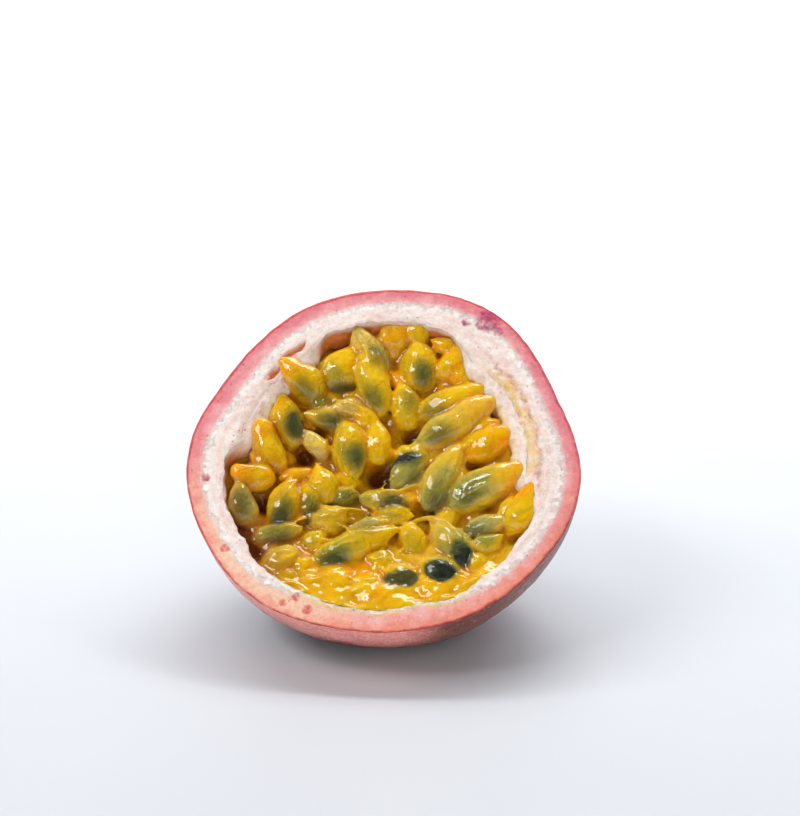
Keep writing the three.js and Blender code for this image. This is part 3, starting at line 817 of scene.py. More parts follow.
# Each sac as it looks from low in front, laid on the cut: tail x, tail y, tail drop below the tops of the sacs,
# end x, end y, rise above the tops, width, tone (-1 olive, 0 yellow, 1 orange), how much more orange the tail is,
# seed shade, wrinkles, milkiness, how blunt the tail is.
openSacs = [
    # up the face, on the left
    (-18.4, 17.0, -1.3, -10.2, 8.6, 0.3, 5.8, -0.05, 0.8, 0.45, 0.1, 0, 0.9),
    (-5.2, 20.4, 0.7, -10.8, 10.8, 0.3, 6.8, 0.1, 0.5, 0.8, 0.15, 0, 0.8),
    (-5.6, 21.4, 0.5, -1.0, 6.2, 1.0, 6.0, 0.15, 0.5, 0.55, 0, 0, 0.7),
    (-7, 24.6, 0.0, -0.6, 13.6, -0.1, 5.2, -0.4, 0.5, 0.6, 0.9, 0.4, 0.6),
    (-1, 24.6, 1.2, 1.6, 19, 0.1, 5.2, 0.5, 0.5, 0, 0.3, 0, 0.4),
    # up the face, on the right
    (2.5, 24.6, 1.0, 5, 20.2, 0.3, 4.4, 0.25, 0.5, 0, 0.3, 0, 0.4),
    (3.8, 22.2, 0.9, 6, 11.2, 0.4, 7.0, 0, 0.5, 0.7, 0.2, 0, 0.5),
    (6, 21.6, 0.6, 10.6, 20, 0.2, 3.2, 0.5, 0.5, 0, 0, 0, 0.4),
    (10.8, 19.2, 0.8, 8.4, 13.2, 0.1, 5.6, 0.55, 0.5, 0, 0, 0, 0.9),
    (9.2, 17.4, 0.8, 14.8, 11.6, 0.2, 4.8, 0.4, 0.5, 0, 0, 0, 0.7),
    (15.8, 12.8, 0.1, 5, 6.4, 0.5, 5.6, 0.2, 0.7, 0.45, 0.15, 0, 1.0),
    (1.6, 15, 1.2, 4.2, 4.2, 0.2, 4.8, 0, 0.5, 0.5, 0, 0, 0.2),
    # the right side
    (17.4, 10.8, 0.1, 5, 1.4, 1.0, 5.6, -0.1, 1.0, 0.5, 0.1, 0.2, 1.15),
    (18.6, 6.8, 0.6, 13, 3.4, 0.1, 3.6, 0.6, 0.5, 0, 0, 0, 0.4),
    (20.2, 4.5, 0.3, 11.2, 0, 0.2, 5.6, 0.5, 0.6, 0.2, 0.1, 0, 1.15),
    (12.7, 2.6, 0.6, 7.4, -10.2, 0.9, 5.4, -0.55, 0.7, 0.6, 0.4, 0.2, 0.7),
    (7.6, 0.4, 1.4, 1.7, -6.8, 0.5, 4.6, -0.7, 0.5, 0.6, 0.4, 0.2, 0.6),
    (6.5, 0.2, 2.4, 2, -1.6, -0.8, 3.6, 0.2, 0.5, 1, 0, 0, 0.4),
    (22.4, -1.8, 0.1, 10.2, -9.6, 0.7, 5.9, -0.45, 1.15, 0.45, 0.15, 0.1, 1.3),
    (24.2, -4.4, 0, 20.4, -14, 0.1, 5.0, 0.5, 0.6, 0, 0.1, 0, 1.2),
    (21.3, -6.2, 1.0, 19, -12, -0.2, 3.6, 0.35, 0.5, 0, 0.1, 0, 0.4),
    (20.2, -11, 0.6, 13.7, -13.7, 0, 3.6, -0.5, 0.8, 0.35, 0.3, 0.4, 0.8),
    (19.8, -13.4, 0.7, 15, -16.5, 0.1, 3.8, -0.3, 0.5, 0.2, 0.5, 0, 0.4),
    # the low side
    (8, -11.4, 0.5, 15, -19.2, 0.5, 5.6, -0.2, 0.5, 1, 0.7, 0.2, 0.7),
    (6, -18.4, 0.8, 13.2, -21.2, 0.5, 4.4, 0.1, 0.5, 1, 0.4, 0.1, 0.8),
    (0.8, -20.6, 1.0, 6.8, -22.7, 0.1, 4.6, 0.25, 0.5, 0.95, 0.2, 0, 0.4),
    (4, -11.8, 1.0, 6.8, -18.5, -0.4, 4.6, 0.3, 0.5, 0, 0.8, 0, 0.4),
    (3.9, -13, 0.5, -9.5, -19.7, 0.6, 5.0, 0.05, 0.5, 0.85, 0.3, 0, 0.6),
    (5.2, -8.6, 0.8, -3.3, -8.3, 0.1, 4.0, 0, 0.5, 0.8, 0.3, 0.1, 0.8),
    (6, -11.2, 0.8, -0.3, -11.6, -0.1, 3.6, 0.2, 0.5, 0, 0.3, 0, 0.4),
    (3, -12.2, 0.7, -4.8, -14.8, 0.1, 3.8, -0.15, 0.5, 0.15, 0.9, 0.3, 0.4),
    (-4.6, -9.9, 0.8, -10.5, -13.9, 0, 4.8, 0, 0.5, 0.15, 1, 0.1, 0.4),
    (-3, -7.2, 1.6, -7.8, -9.5, -0.6, 3.4, -0.6, 0.5, 0.7, 0.3, 0, 0.4),
    (-7.6, -14, 1.2, -11, -18, -0.5, 3.8, -0.2, 0.5, 0.2, 0.6, 0, 0.4),
    (-11.4, -13.9, 0.9, -18.8, -16.3, -0.4, 3.6, -0.5, 0.5, 0.6, 0.2, 0.1, 0.9),
    (-12, -17, 0.5, -16.7, -22.4, 0.3, 5.2, 0.05, 0.5, 0, 0.1, 0.2, 0.8),
    (-9.3, -18.5, 0.8, -12.4, -21.7, 0, 3.6, 0.3, 0.5, 0, 0.2, 0, 0.4),
    (-1.5, -20.5, 1.0, -8, -23.4, -0.2, 3.6, 0.5, 0.5, 0, 0.5, 0, 0.4),
    (-7.5, -22, 0.8, -3.4, -24.2, 0, 3.2, 0.3, 0.5, 0, 0.4, 0, 0.4),
    (-3, -21.8, 0.8, 1.4, -23.8, 0, 3.4, 0.35, 0.5, 0, 0.4, 0, 0.4),
    (7.5, -24.2, 0.8, 12, -22.8, 0, 2.8, 0.4, 0.5, 0, 0.3, 0, 0.4),
    (-15.4, -21.2, 0.8, -11.2, -24, 0, 3.2, 0.3, 0.5, 0, 0.3, 0, 0.4),
    (13.8, -20.4, 0.8, 17, -17.6, 0, 3.2, 0.35, 0.5, 0, 0.3, 0, 0.4),
    (-1.6, -18, 0.8, 2.8, -19.6, 0, 3.6, 0.2, 0.5, 0, 0.5, 0, 0.4),
    # the left side
    (-22.4, -5.6, 0.5, -20.1, -14, -0.3, 4.8, -0.35, 0.5, 0.6, 0.2, 0.3, 0.9),
    (-13.9, -3.8, 0.6, -15.5, -14, 0.6, 5.6, -0.1, 0.5, 0.8, 0.4, 0, 0.15),
    (-12.2, -4.6, 1.0, -10.9, -12.4, 0, 4.4, 0.1, 0.5, 0.8, 0.2, 0, 0.2),
    (-10.7, -1.8, 0.6, -8.5, -10, 0.4, 4.8, 0.1, 0.5, 0, 0.1, 0, 0.3),
    (-20.8, 5.4, -0.5, -16, -4.4, 0.3, 5.2, 0.15, 0.45, 0, 0.5, 0, 1.2),
    (-24, -3.8, -0.1, -16.8, -6, 0.2, 4.8, 0.2, 0.5, 0, 0.1, 0, 1.1),
    (-21.6, -0.6, 0.8, -17.6, -4.4, 0, 3.6, 0.35, 0.5, 0, 0.1, 0, 0.4),
    (-18, 11.4, 0.4, -14.6, 0, 0.4, 5.8, -0.1, 0.5, 0.75, 0.1, 0, 0.5),
    (-13.6, 7, 0.8, -6, 4.5, -0.1, 3.8, -0.35, 0.5, 0.4, 0.3, 0.1, 0.8),
    (-9.8, 7.3, 0.6, -3.5, 8.6, 0.1, 3.2, -0.4, 0.5, 0.25, 0.8, 0.6, 0.7),
    (-13, 11, 1.0, -9.4, 6.9, -0.2, 3.8, -0.4, 0.5, 0.1, 0.5, 0, 0.4),
    (-13.8, 3.8, 0.6, -9.2, -1.6, -0.8, 3.4, -0.2, 0.3, 0, 0.9, 0.6, 1.1),
    (-7.8, 7.2, 1.0, -4.2, -5, 0.8, 5.8, 0, 0.5, 0.85, 0.2, 0, 0.5),
    (-2.2, 7.6, 1.0, -0.3, -2.4, 0.3, 4.8, 0.4, 0.5, 0, 0.1, 0, 0.3),
    (-5, 9.2, 1.0, -1.5, 3.8, 0.3, 4.2, 0.4, 0.5, 0, 0.1, 0, 0.6),
]
lower = {
    "count": 48,
    "turn": 137.5,  # degrees from one to the next
    "reach": 24,
    "sway": 0.9,
    "length": 7.5,
    "width": 4.2,
    "drop": 1.5,
    "rise": -1.5,
    "look": (0.45, 0.5, 0.3, 0, 0, 0.6),  # from tone to bluntness, as above
}
# Dark gaps between the sacs, down to the bed, as seen: x, y, radius, depth
gaps = [
    (-9, 21, 2.4, 2.2), (0.4, 8.6, 1.3, 2.4), (0.5, 10.8, 1.2, 2.0), (-12.6, -1.6, 1.4, 2.4),
    (-11, 2.4, 1.4, 2), (0.2, -5, 2.0, 2.6), (4.4, 2.4, 1.4, 1.8), (15.2, -2.6, 1.5, 1.8),
    (-21.6, 1.2, 1.5, 2.4), (-17.6, -19.6, 1.6, 1.6), (-18.4, -10.6, 1.3, 2.2), (16.4, 6, 1.2, 2),
    (17.6, -9.8, 1.6, 1.6), (-19.2, 13.2, 1.2, 1.6), (8.4, -11.4, 1.2, 1.6), (5.4, -16.4, 1.4, 1.4),
    (21.6, -15, 1.2, 1.6), (-7.4, -10.6, 1.0, 1.2),
]
strands = {"count": 24, "least": 2.0, "reach": 4.0, "thick": (0.18, 0.3), "sag": (0.2, 0.9), "rise": 0.3}
# Folds of skin over the sacs, as seen: start, middle and end x and y, thickness.
folds = [
    (-2.6, -8, 1.6, -6.9, 5.8, -8.8, 0.42), (-3, -9.2, 0.5, -10.6, 4.5, -9.8, 0.3),
    (2.8, -13.2, 8.3, -11.3, 12.4, -14, 0.45), (12.4, -14, 13.9, -15.3, 14.6, -17.6, 0.38),
    (9.8, -12.6, 11.2, -15, 10.4, -17.8, 0.32), (-0.8, -12.6, 0.6, -12.1, 2.2, -12.8, 0.35),
    (-10, 9.7, -6.6, 8.6, -3.8, 7.4, 0.5), (-9.6, 8.4, -6.5, 7.2, -3.6, 6.2, 0.42),
    (-6.4, 22.6, -4.6, 19.5, -3.4, 16.2, 0.4), (-5, 23.2, -3.2, 20, -2, 17, 0.36),
    (-6.4, 18.6, -5.8, 13.5, -4, 9.4, 0.26), (11.8, 1, 10.3, -3.6, 8.6, -8.4, 0.3),
    (12.6, 0.2, 11.8, -4.2, 10.4, -8, 0.26), (3.4, -5.9, 4.4, -3.6, 6.2, -1.8, 0.28),
    (18.5, -4.6, 14.8, -6, 11.4, -8.6, 0.26), (-12.6, 4.4, -13.2, 2, -13.4, -0.4, 0.34),
    (-10.6, 2.8, -10.2, 0.6, -10.8, -2.2, 0.32), (-18.4, -15.7, -15, -14.8, -12, -14.3, 0.26),
    (-6.9, -16.9, -4.6, -16, -2.4, -15.3, 0.3), (-9.6, -18.4, -6.4, -17.6, -3.6, -17.4, 0.24),
    (-9.6, -10.4, -8, -11.6, -5.4, -12, 0.28), (-9.2, -12.4, -7.6, -13.2, -5.4, -13.4, 0.28),
    (-16.5, -18.6, -14.4, -17.6, -12.4, -17.9, 0.26), (7.6, -18.4, 10.2, -17.6, 12.8, -19, 0.24),
    (-13.4, -22.6, -11.6, -23.2, -9.6, -24.2, 0.42), (17.4, 12.8, 18.8, 11.8, 20.4, 12.4, 0.26),
    (19.2, 9.2, 19.6, 7.4, 19.4, 5.8, 0.24),
    (1.4, 7.6, 0.4, 6.8, -0.6, 5.4, 0.3), (-2.4, 4, -1, 1.2, -0.8, -1.8, 0.26),
    (14.6, -11.6, 17, -12.4, 19.2, -13.4, 0.26), (-5.4, -21.2, -2.6, -22, 0.4, -21.4, 0.3),
    (-2.4, -19, 0.4, -18.4, 2.8, -19.2, 0.26), (-16, -9.4, -14.6, -6.8, -13.6, -4.4, 0.26),
]
wrinkles = {
    "count": 60,
    "x": (-15, 16),
    "y": (-22, -5),
    "heading": (-0.6, 0.9),  # radians
    "bend": (-0.4, 0.4),
    "length": (2, 5.5),
    "thick": (0.16, 0.3),
}
# Where seeds show through, as seen: x, y, heading, strength, and seed number with how far it stands out, or 0, 0.
# Seeds below the surface have a depth below 0.
shades = [
    (-8.6, 11.9, -20, 0.8, 1, -0.6), (5.0, 15.2, -85, 0.75, 2, -0.9), (8.7, -7.6, -105, 0.7, 3, -0.6),
    (3.1, -0.8, 200, 0.95, 4, 0.12), (13.2, -17.2, -50, 1.0, 5, 0.16), (10, -19.9, -14, 1.0, 6, 0.42),
    (4.0, -21.9, 10, 1.3, 7, -0.4), (-6.6, -18.7, 200, 0.9, 8, -0.4), (1.4, -8.9, 175, 0.9, 9, -0.4),
    (-22, -8.8, -80, 0.6, 10, -0.6), (-15.6, -11.8, -110, 0.9, 11, -0.4), (-14.9, 5, -70, 0.95, 12, -0.4),
    (-4.8, -0.4, -75, 0.75, 13, -0.9),
    (-14.2, 11.6, -55, 0.5, 0, 0), (-3.0, 10.4, -70, 0.65, 0, 0), (-2.4, 17.6, -60, 0.5, 0, 0),
    (3.0, 10.2, -80, 0.45, 0, 0), (7.2, 8.2, 215, 0.5, 0, 0), (8.4, 3.9, 215, 0.65, 0, 0),
    (4.4, -4.3, 235, 0.7, 0, 0), (13.6, -6.8, 205, 0.6, 0, 0), (14.7, -13.8, 190, 0.55, 0, 0),
    (-9.8, 5.4, 170, 0.7, 0, 0), (-11.2, -10.8, -80, 0.8, 0, 0), (-5, -8.2, 190, 0.55, 0, 0),
    (-15.6, -15.2, 190, 0.6, 0, 0), (-1.8, -13.3, 200, 0.4, 0, 0), (-11.4, 9.2, 200, 0.45, 0, 0),
]
shadeSize = {"length": 5.4, "width": 3.4, "depth": 0.7, "reach": 3}
juice = {
    "blend": 0.25,  # how softly one sac's looks pass into the next
    "bedGap": 0.45,  # this far from a sac the bed's own looks count as much
    "bedTone": 0.35,  # tones: over 0 more orange, below 0 greener
    "seedTone": 0.55,  # how much greener over a seed
    "flankTone": 0.55,
    "lowTone": 0.2,  # how much greener from the middle down
    "leftTone": 0.15,
    "calmTone": 0.18,
    "filled": 0.45,  # how much of a gap the juice fills
    "clearance": 0.5,  # from the wall, under the sacs
}


def bowlDepth(x, y):  # deepest in the middle, by the square of the distance from it
    share = np.minimum(1, (x * x + y * y) / bowl["radius"] ** 2)
    return bowl["rimDepth"] + bowl["depth"] * (1 - share)


def onSight(x, y, z):  # the point at height z that shows at a place of the cut
    return np.array([x + sac["sightX"] * z, y + sac["sightY"] * z, z])


def bedHeight(x, y):
    # the juice between the sacs, as a height: it follows the bowl, stands higher at the low side, and has gaps
    pool = bowl["poolRise"] * smoothStep(-y, -bowl["poolStart"], -bowl["poolFull"])
    pool = pool + bowl["rightRise"] * smoothStep(x, 10, 18) * smoothStep(y, -14, -8)
    height = pool - bowl["bedDrop"] - bowlDepth(x, y)
    for seenX, seenY, radius, depth in gaps:
        gapX, gapY, _ = onSight(seenX, seenY, -(bowl["bedDrop"] + bowlDepth(seenX, seenY) + depth / 2))
        height = height - depth * np.exp(-((x - gapX) ** 2 + (y - gapY) ** 2) / radius**2)
    return height


def sacPlace(row):
    # where a sac lies: its tail, length, and the directions along it, across it and up from it
    tailX, tailY, drop, endX, endY, rise, width = row[:7]
    end = onSight(endX, endY, rise - width * sac["flatness"] / 2 - bowlDepth(endX, endY))
    tail = onSight(tailX, tailY, -drop - bowlDepth(tailX, tailY))
    length = max(np.linalg.norm(end - tail), sac["leastStretch"] * width)
    along = unit(end - tail)
    side, up = levelAxes(along)
    return {"tail": end - along * length, "along": along, "side": side, "up": up,
            "length": length, "width": width, "blunt": row[12]}


def seen(x, y):
    # what the probe line through a point of the cut meets first: the place and its outward direction
    probe = np.array(sac["probe"])
    start = np.array([x, y, 0]) + 12 * probe
    spot, normal = heapTree.ray_cast(Vector(start), Vector(-probe))[:2]
    if spot is None:  # past the edge of the heap
        return np.array([x, y, -bowl["edgeDepth"]]), np.array([0, 0, 1.0])
    return np.array(spot), unit(np.array(normal) + [0, 0, 0.6])


def seedPlace(x, y, heading):
    # where a seed is seen, and the directions along it, across it and up from it; heading is an angle on the cut
    spot, up = seen(x, y)
    turn = math.radians(heading)
    side = unit(np.cross(up, [math.cos(turn), math.sin(turn), 0]))
    return spot, np.cross(side, up), side, up


def dropRadius(share, blunt):
    # a half wave over the length, its crown leant to the end, slender or blunt at the tail
    slender, full = sac["tailPowers"]
    tailPower = slender + (full - slender) * blunt
    power = tailPower + (sac["endPower"] - tailPower) * share
    return np.sin(math.pi * np.clip(share, 0, 1) ** sac["lean"]) ** power


def bunched(start, end, count):  # shares of a length, closer together towards both ends
    return (1 - np.cos(np.linspace(start, end, count) * math.pi)) / 2


def sacGrid(place, seed):
    # a drop along the sac: circles of the drop's radius, a little flat, bent and lumpy
    share = bunched(0.03, 0.985, sac["rows"])
    radius = place["width"] / 2 * dropRadius(share, place["blunt"])
    bend = np.random.default_rng(seed).uniform(-sac["bend"], sac["bend"]) * np.sin(share * math.pi)
    spine = place["tail"] + np.outer(share * place["length"], place["along"])
    bent = spine + bend[:, None] * place["side"]
    points = ovals(bent, place["side"], place["up"], radius, radius * sac["flatness"], sac["columns"])
    outwards = points - spine[:, None]
    size = np.linalg.norm(outwards, axis=-1, keepdims=True) + 1e-6
    stretched = np.stack([points @ place["along"] * 0.25, points @ place["side"], points @ place["up"]], axis=-1)
    lumps = swells(points, [(*sac["lumps"], seed)]) + swells(stretched, [(*sac["folds"], seed + 1)])
    return points + outwards / size * (lumps * np.minimum(1, size[..., 0] / 1.2))[..., None]


def lowerSacs():
    # the next layer down: tails on a spiral that fills the bowl evenly, heading inwards, clear of the gaps
    rows = []
    for i in range(lower["count"]):
        angle = i * math.radians(lower["turn"])
        radius = lower["reach"] * math.sqrt((i + 0.5) / lower["count"])
        heading = angle + math.pi + lower["sway"] * math.sin(angle)
        x, y = radius * math.cos(angle), radius * math.sin(angle)
        reachX, reachY = lower["length"] * math.cos(heading), lower["length"] * math.sin(heading)
        if any(math.hypot(x + reachX * part - gap[0], y + reachY * part - gap[1]) < gap[2] + 0.8
               for gap in gaps for part in (0.2, 0.5, 0.8)):
            continue
        rows.append((x, y, lower["drop"], x + reachX, y + reachY, lower["rise"], lower["width"], *lower["look"]))
    return rows


allSacs = openSacs + lowerSacs()
sacPlaces = [sacPlace(row) for row in allSacs]


def strandGrid(start, end, thick, sag):
    # a string of juice from one sac to the next: thin in its middle, hanging by a parabola
    share = np.linspace(0, 1, 16)
    spine = start + np.outer(share, end - start)
    spine[:, 2] += (strands["rise"] - sag) * 4 * share * (1 - share)
    radius = thick * (0.55 + 1.1 * (2 * share - 1) ** 2)
    return ovals(spine, *levelAxes(unit(end - start)), radius, radius, 10)


def strandGrids():
    # strings between the upper sides of neighbouring sacs, drawn at random
    rng = np.random.default_rng(77)
    grids = []
    while len(grids) < strands["count"]:
        a, b = rng.integers(0, len(openSacs), 2)
        ends = []
        for place in (sacPlaces[a], sacPlaces[b]):
            share = rng.uniform(0.25, 0.9)
            sideways = rng.uniform(-0.5, 0.5) * place["width"]
            radius = place["width"] / 2 * float(dropRadius(share, place["blunt"]))
            sideways = np.clip(sideways, -0.85 * radius, 0.85 * radius)
            upwards = sac["flatness"] * math.sqrt(radius**2 - sideways**2) - 0.15
            ends.append(place["tail"] + place["along"] * share * place["length"]
                        + place["side"] * sideways + place["up"] * upwards)
        if a == b or not strands["least"] < np.linalg.norm(ends[1] - ends[0]) < strands["reach"]:
            continue
        grids.append(strandGrid(*ends, rng.uniform(*strands["thick"]), rng.uniform(*strands["sag"])))
    return grids


def evened(values, rounds):  # in each round every inner value becomes the mean of itself and its neighbours
    for _ in range(rounds):
        values[1:-1] = (values[:-2] + values[1:-1] + values[2:]) / 3
    return values


def foldGrid(fold):
    # a ridge laid on what is seen along an arc, bridging the gaps it crosses, fading at its ends
    share = np.linspace(0, 1, 22)
    ends, through, thick = np.array([fold[0:2], fold[4:6]]), np.array(fold[2:4]), fold[6]
    handle = 2 * through - ends.mean(axis=0)
    flat = (np.outer((1 - share) ** 2, ends[0]) + np.outer(2 * share * (1 - share), handle)
            + np.outer(share**2, ends[1]))
    spine = np.array([seen(x, y)[0] for x, y in flat])
    bridge = spine[0] + np.outer(share, spine[-1] - spine[0])
    low = evened(np.clip(bridge[:, 2] - 0.7 - spine[:, 2], 0, None), 3)
    spine = evened(spine + low[:, None] * sac["probe"], 2)
    radius = thick * np.sin(math.pi * (0.04 + 0.92 * share)) ** 0.5
    return ovals(spine, *levelAxes(unit(spine[-1] - spine[0])), radius, 1.15 * radius, 10)


def wrinkleFolds():
    # short arcs drawn at random over the lower half, where the skins of the sacs are pulled off
    rng = np.random.default_rng(91)
    rows = []
    for _ in range(wrinkles["count"]):
        x, y, heading, bend, length, thick = (
            rng.uniform(*wrinkles[key]) for key in ("x", "y", "heading", "bend", "length", "thick"))
        alongX, alongY = length / 2 * math.cos(heading), length / 2 * math.sin(heading)
        middle = (x - bend * alongY, y + bend * alongX)
        rows.append((x - alongX, y - alongY, *middle, x + alongX, y + alongY, thick))
    return rows


def bedGrid():
    # the bed: a disc whose top is the bed's height out to the wall, closed by a floor under it
    angle = fullTurn(bowl["columns"])[None, :]
    share = np.linspace(0.01, 1, bowl["rows"])[:, None]
    depth = np.full_like(angle, 3.0)
    for _ in range(12):  # the depth at which the wall meets the bed
        edge = hollowPoint(depth, angle, 0.3)
        depth = 0.5 * depth + 0.5 * np.clip(-bedHeight(edge[..., 0], edge[..., 1]), 0.3, 8)
    x = share * edge[..., 0]
    y = share * (edge[..., 1] - hollow["shift"]) + hollow["shift"]
    flat = np.stack([x, y, 0 * x], axis=-1)
    z = bedHeight(x, y) + swells(flat, bowl["waves"])
    z += smoothStep(-y, 14, 19) * (1 - smoothStep(share, 0.95, 1)) * swells(flat, bowl["poolWaves"])
    top = np.stack([x, y, z], axis=-1)
    under = top[::-1] * [0.9, 0.9, 0] - [0, 0, bowl["floor"]]
    return np.concatenate([top, under[:1], under])


def mainBody(points, quads):
    # the largest connected part: each part's points take the lowest number in it
    label = np.arange(len(points))
    while True:
        least = label.copy()
        for corner in range(4):
            np.minimum.at(least, label[quads[:, corner]], label[quads].min(axis=1))
        least = least[least]
        if (least == label).all():
            break
        label = least
    kept = label == np.bincount(label).argmax()
    return points[kept], (np.cumsum(kept) - 1)[quads[kept[quads[:, 0]]]]


def remeshed(name, grids, voxel):
    # the grids fused to one skin of even quads, in millimetres
    piece = addObject(name, makeMesh(name, *joined(grids)))
    fuse = piece.modifiers.new("fuse", "REMESH")
    fuse.mode = "VOXEL"
    fuse.voxel_size = voxel
    fused = piece.evaluated_get(bpy.context.evaluated_depsgraph_get()).to_mesh()
    co = np.empty(len(fused.vertices) * 3, np.float32)
    fused.vertices.foreach_get("co", co)
    corners = np.empty(len(fused.loops), np.int32)
    fused.loops.foreach_get("vertex_index", corners)
    result = co.reshape(-1, 3).astype(float), corners.reshape(-1, 4)
    bpy.data.objects.remove(piece)
    return mainBody(*result)


def thinned(mesh, triangles):
    # the mesh with its flat parts simplified until it has this many triangles; its attributes stay
    piece = addObject(mesh.name, mesh)
    thin = piece.modifiers.new("thin", "DECIMATE")
    thin.ratio = min(1, triangles / (2 * len(mesh.polygons)))
    thin.use_collapse_triangulate = True
    result = bpy.data.meshes.new_from_object(piece.evaluated_get(bpy.context.evaluated_depsgraph_get()))
    bpy.data.objects.remove(piece)
    return result


def relax(points, quads, rounds, amount):
    # each point moves towards the mean of its neighbours
    pairs = np.vstack([quads[:, [0, 1]], quads[:, [1, 2]], quads[:, [2, 3]], quads[:, [3, 0]]])
    count = np.bincount(pairs[:, 0], minlength=len(points))[:, None]
    for _ in range(rounds):
        total = [np.bincount(pairs[:, 0], column[pairs[:, 1]], len(points)) for column in points.T]
        points = points + amount * (np.stack(total, axis=-1) / np.maximum(count, 1) - points)
    return points


def vertexNormals(points, quads):
    # the sum of the faces round each point, each by its area, outwards at the top of the heap
    a, b, c, d = (points[quads[:, i]] for i in range(4))
    faceNormals = np.cross(c - a, d - b)
    normals = np.zeros_like(points)
    for corner in range(4):
        for axis in range(3):
            normals[:, axis] += np.bincount(quads[:, corner], faceNormals[:, axis], len(points))
    normals /= np.linalg.norm(normals, axis=1, keepdims=True) + 1e-12
    return -normals if normals[points[:, 2] > -3, 2].mean() < 0 else normals


def dot(a, b):  # row by row
    return np.einsum("ij,ij->i", a, b)


heapGrids = [bedGrid()] + [sacGrid(place, 40 + 3 * i) for i, place in enumerate(sacPlaces)]
heapPoints, heapQuads, _ = joined(heapGrids)
heapTree = BVHTree.FromPolygons(heapPoints.tolist(), heapQuads.tolist())


def sacShares(points):
    # for every sac: how far each point is outside its plain drop, the share along it and the angle round it
    gapTo, alongTo, roundTo = np.empty((3, len(points), len(sacPlaces)))
    for i, place in enumerate(sacPlaces):
        offset = points - place["tail"]
        share = np.clip(offset @ place["along"] / place["length"], 0.02, 0.99)
        away = offset - share[:, None] * place["length"] * place["along"]
        side, up = away @ place["side"], away @ place["up"] / sac["flatness"]
        past = np.abs(offset @ place["along"] - share * place["length"])
        gapTo[:, i] = np.hypot(np.hypot(side, up), past) - place["width"] / 2 * dropRadius(share, place["blunt"])
        alongTo[:, i] = share
        roundTo[:, i] = np.arctan2(up, side)
    return gapTo, alongTo, roundTo


def seedShadows(points):
    # a seed shows where little pulp lies over it: by the distance from its middle, in shares of its size
    shadow = np.zeros(len(points))
    for x, y, heading, strength, _, _ in shades:
        spot, along, side, up = seedPlace(x, y, heading)
        offset = points - (spot - shadeSize["depth"] * up)
        shares = [offset @ along / shadeSize["length"], offset @ side / shadeSize["width"],
                  offset @ up / shadeSize["reach"]]
        cover = 2 * np.sqrt(sum(part**2 for part in shares))
        firm = 3 * max(0, min(1, strength) - 0.9)  # the nearer the surface, the firmer its edge
        shown = 1.2 * strength * (1 - smoothStep(cover, 0.35 + firm, 1.5 - firm / 2))
        shadow = np.maximum(shadow, shown)
    return shadow


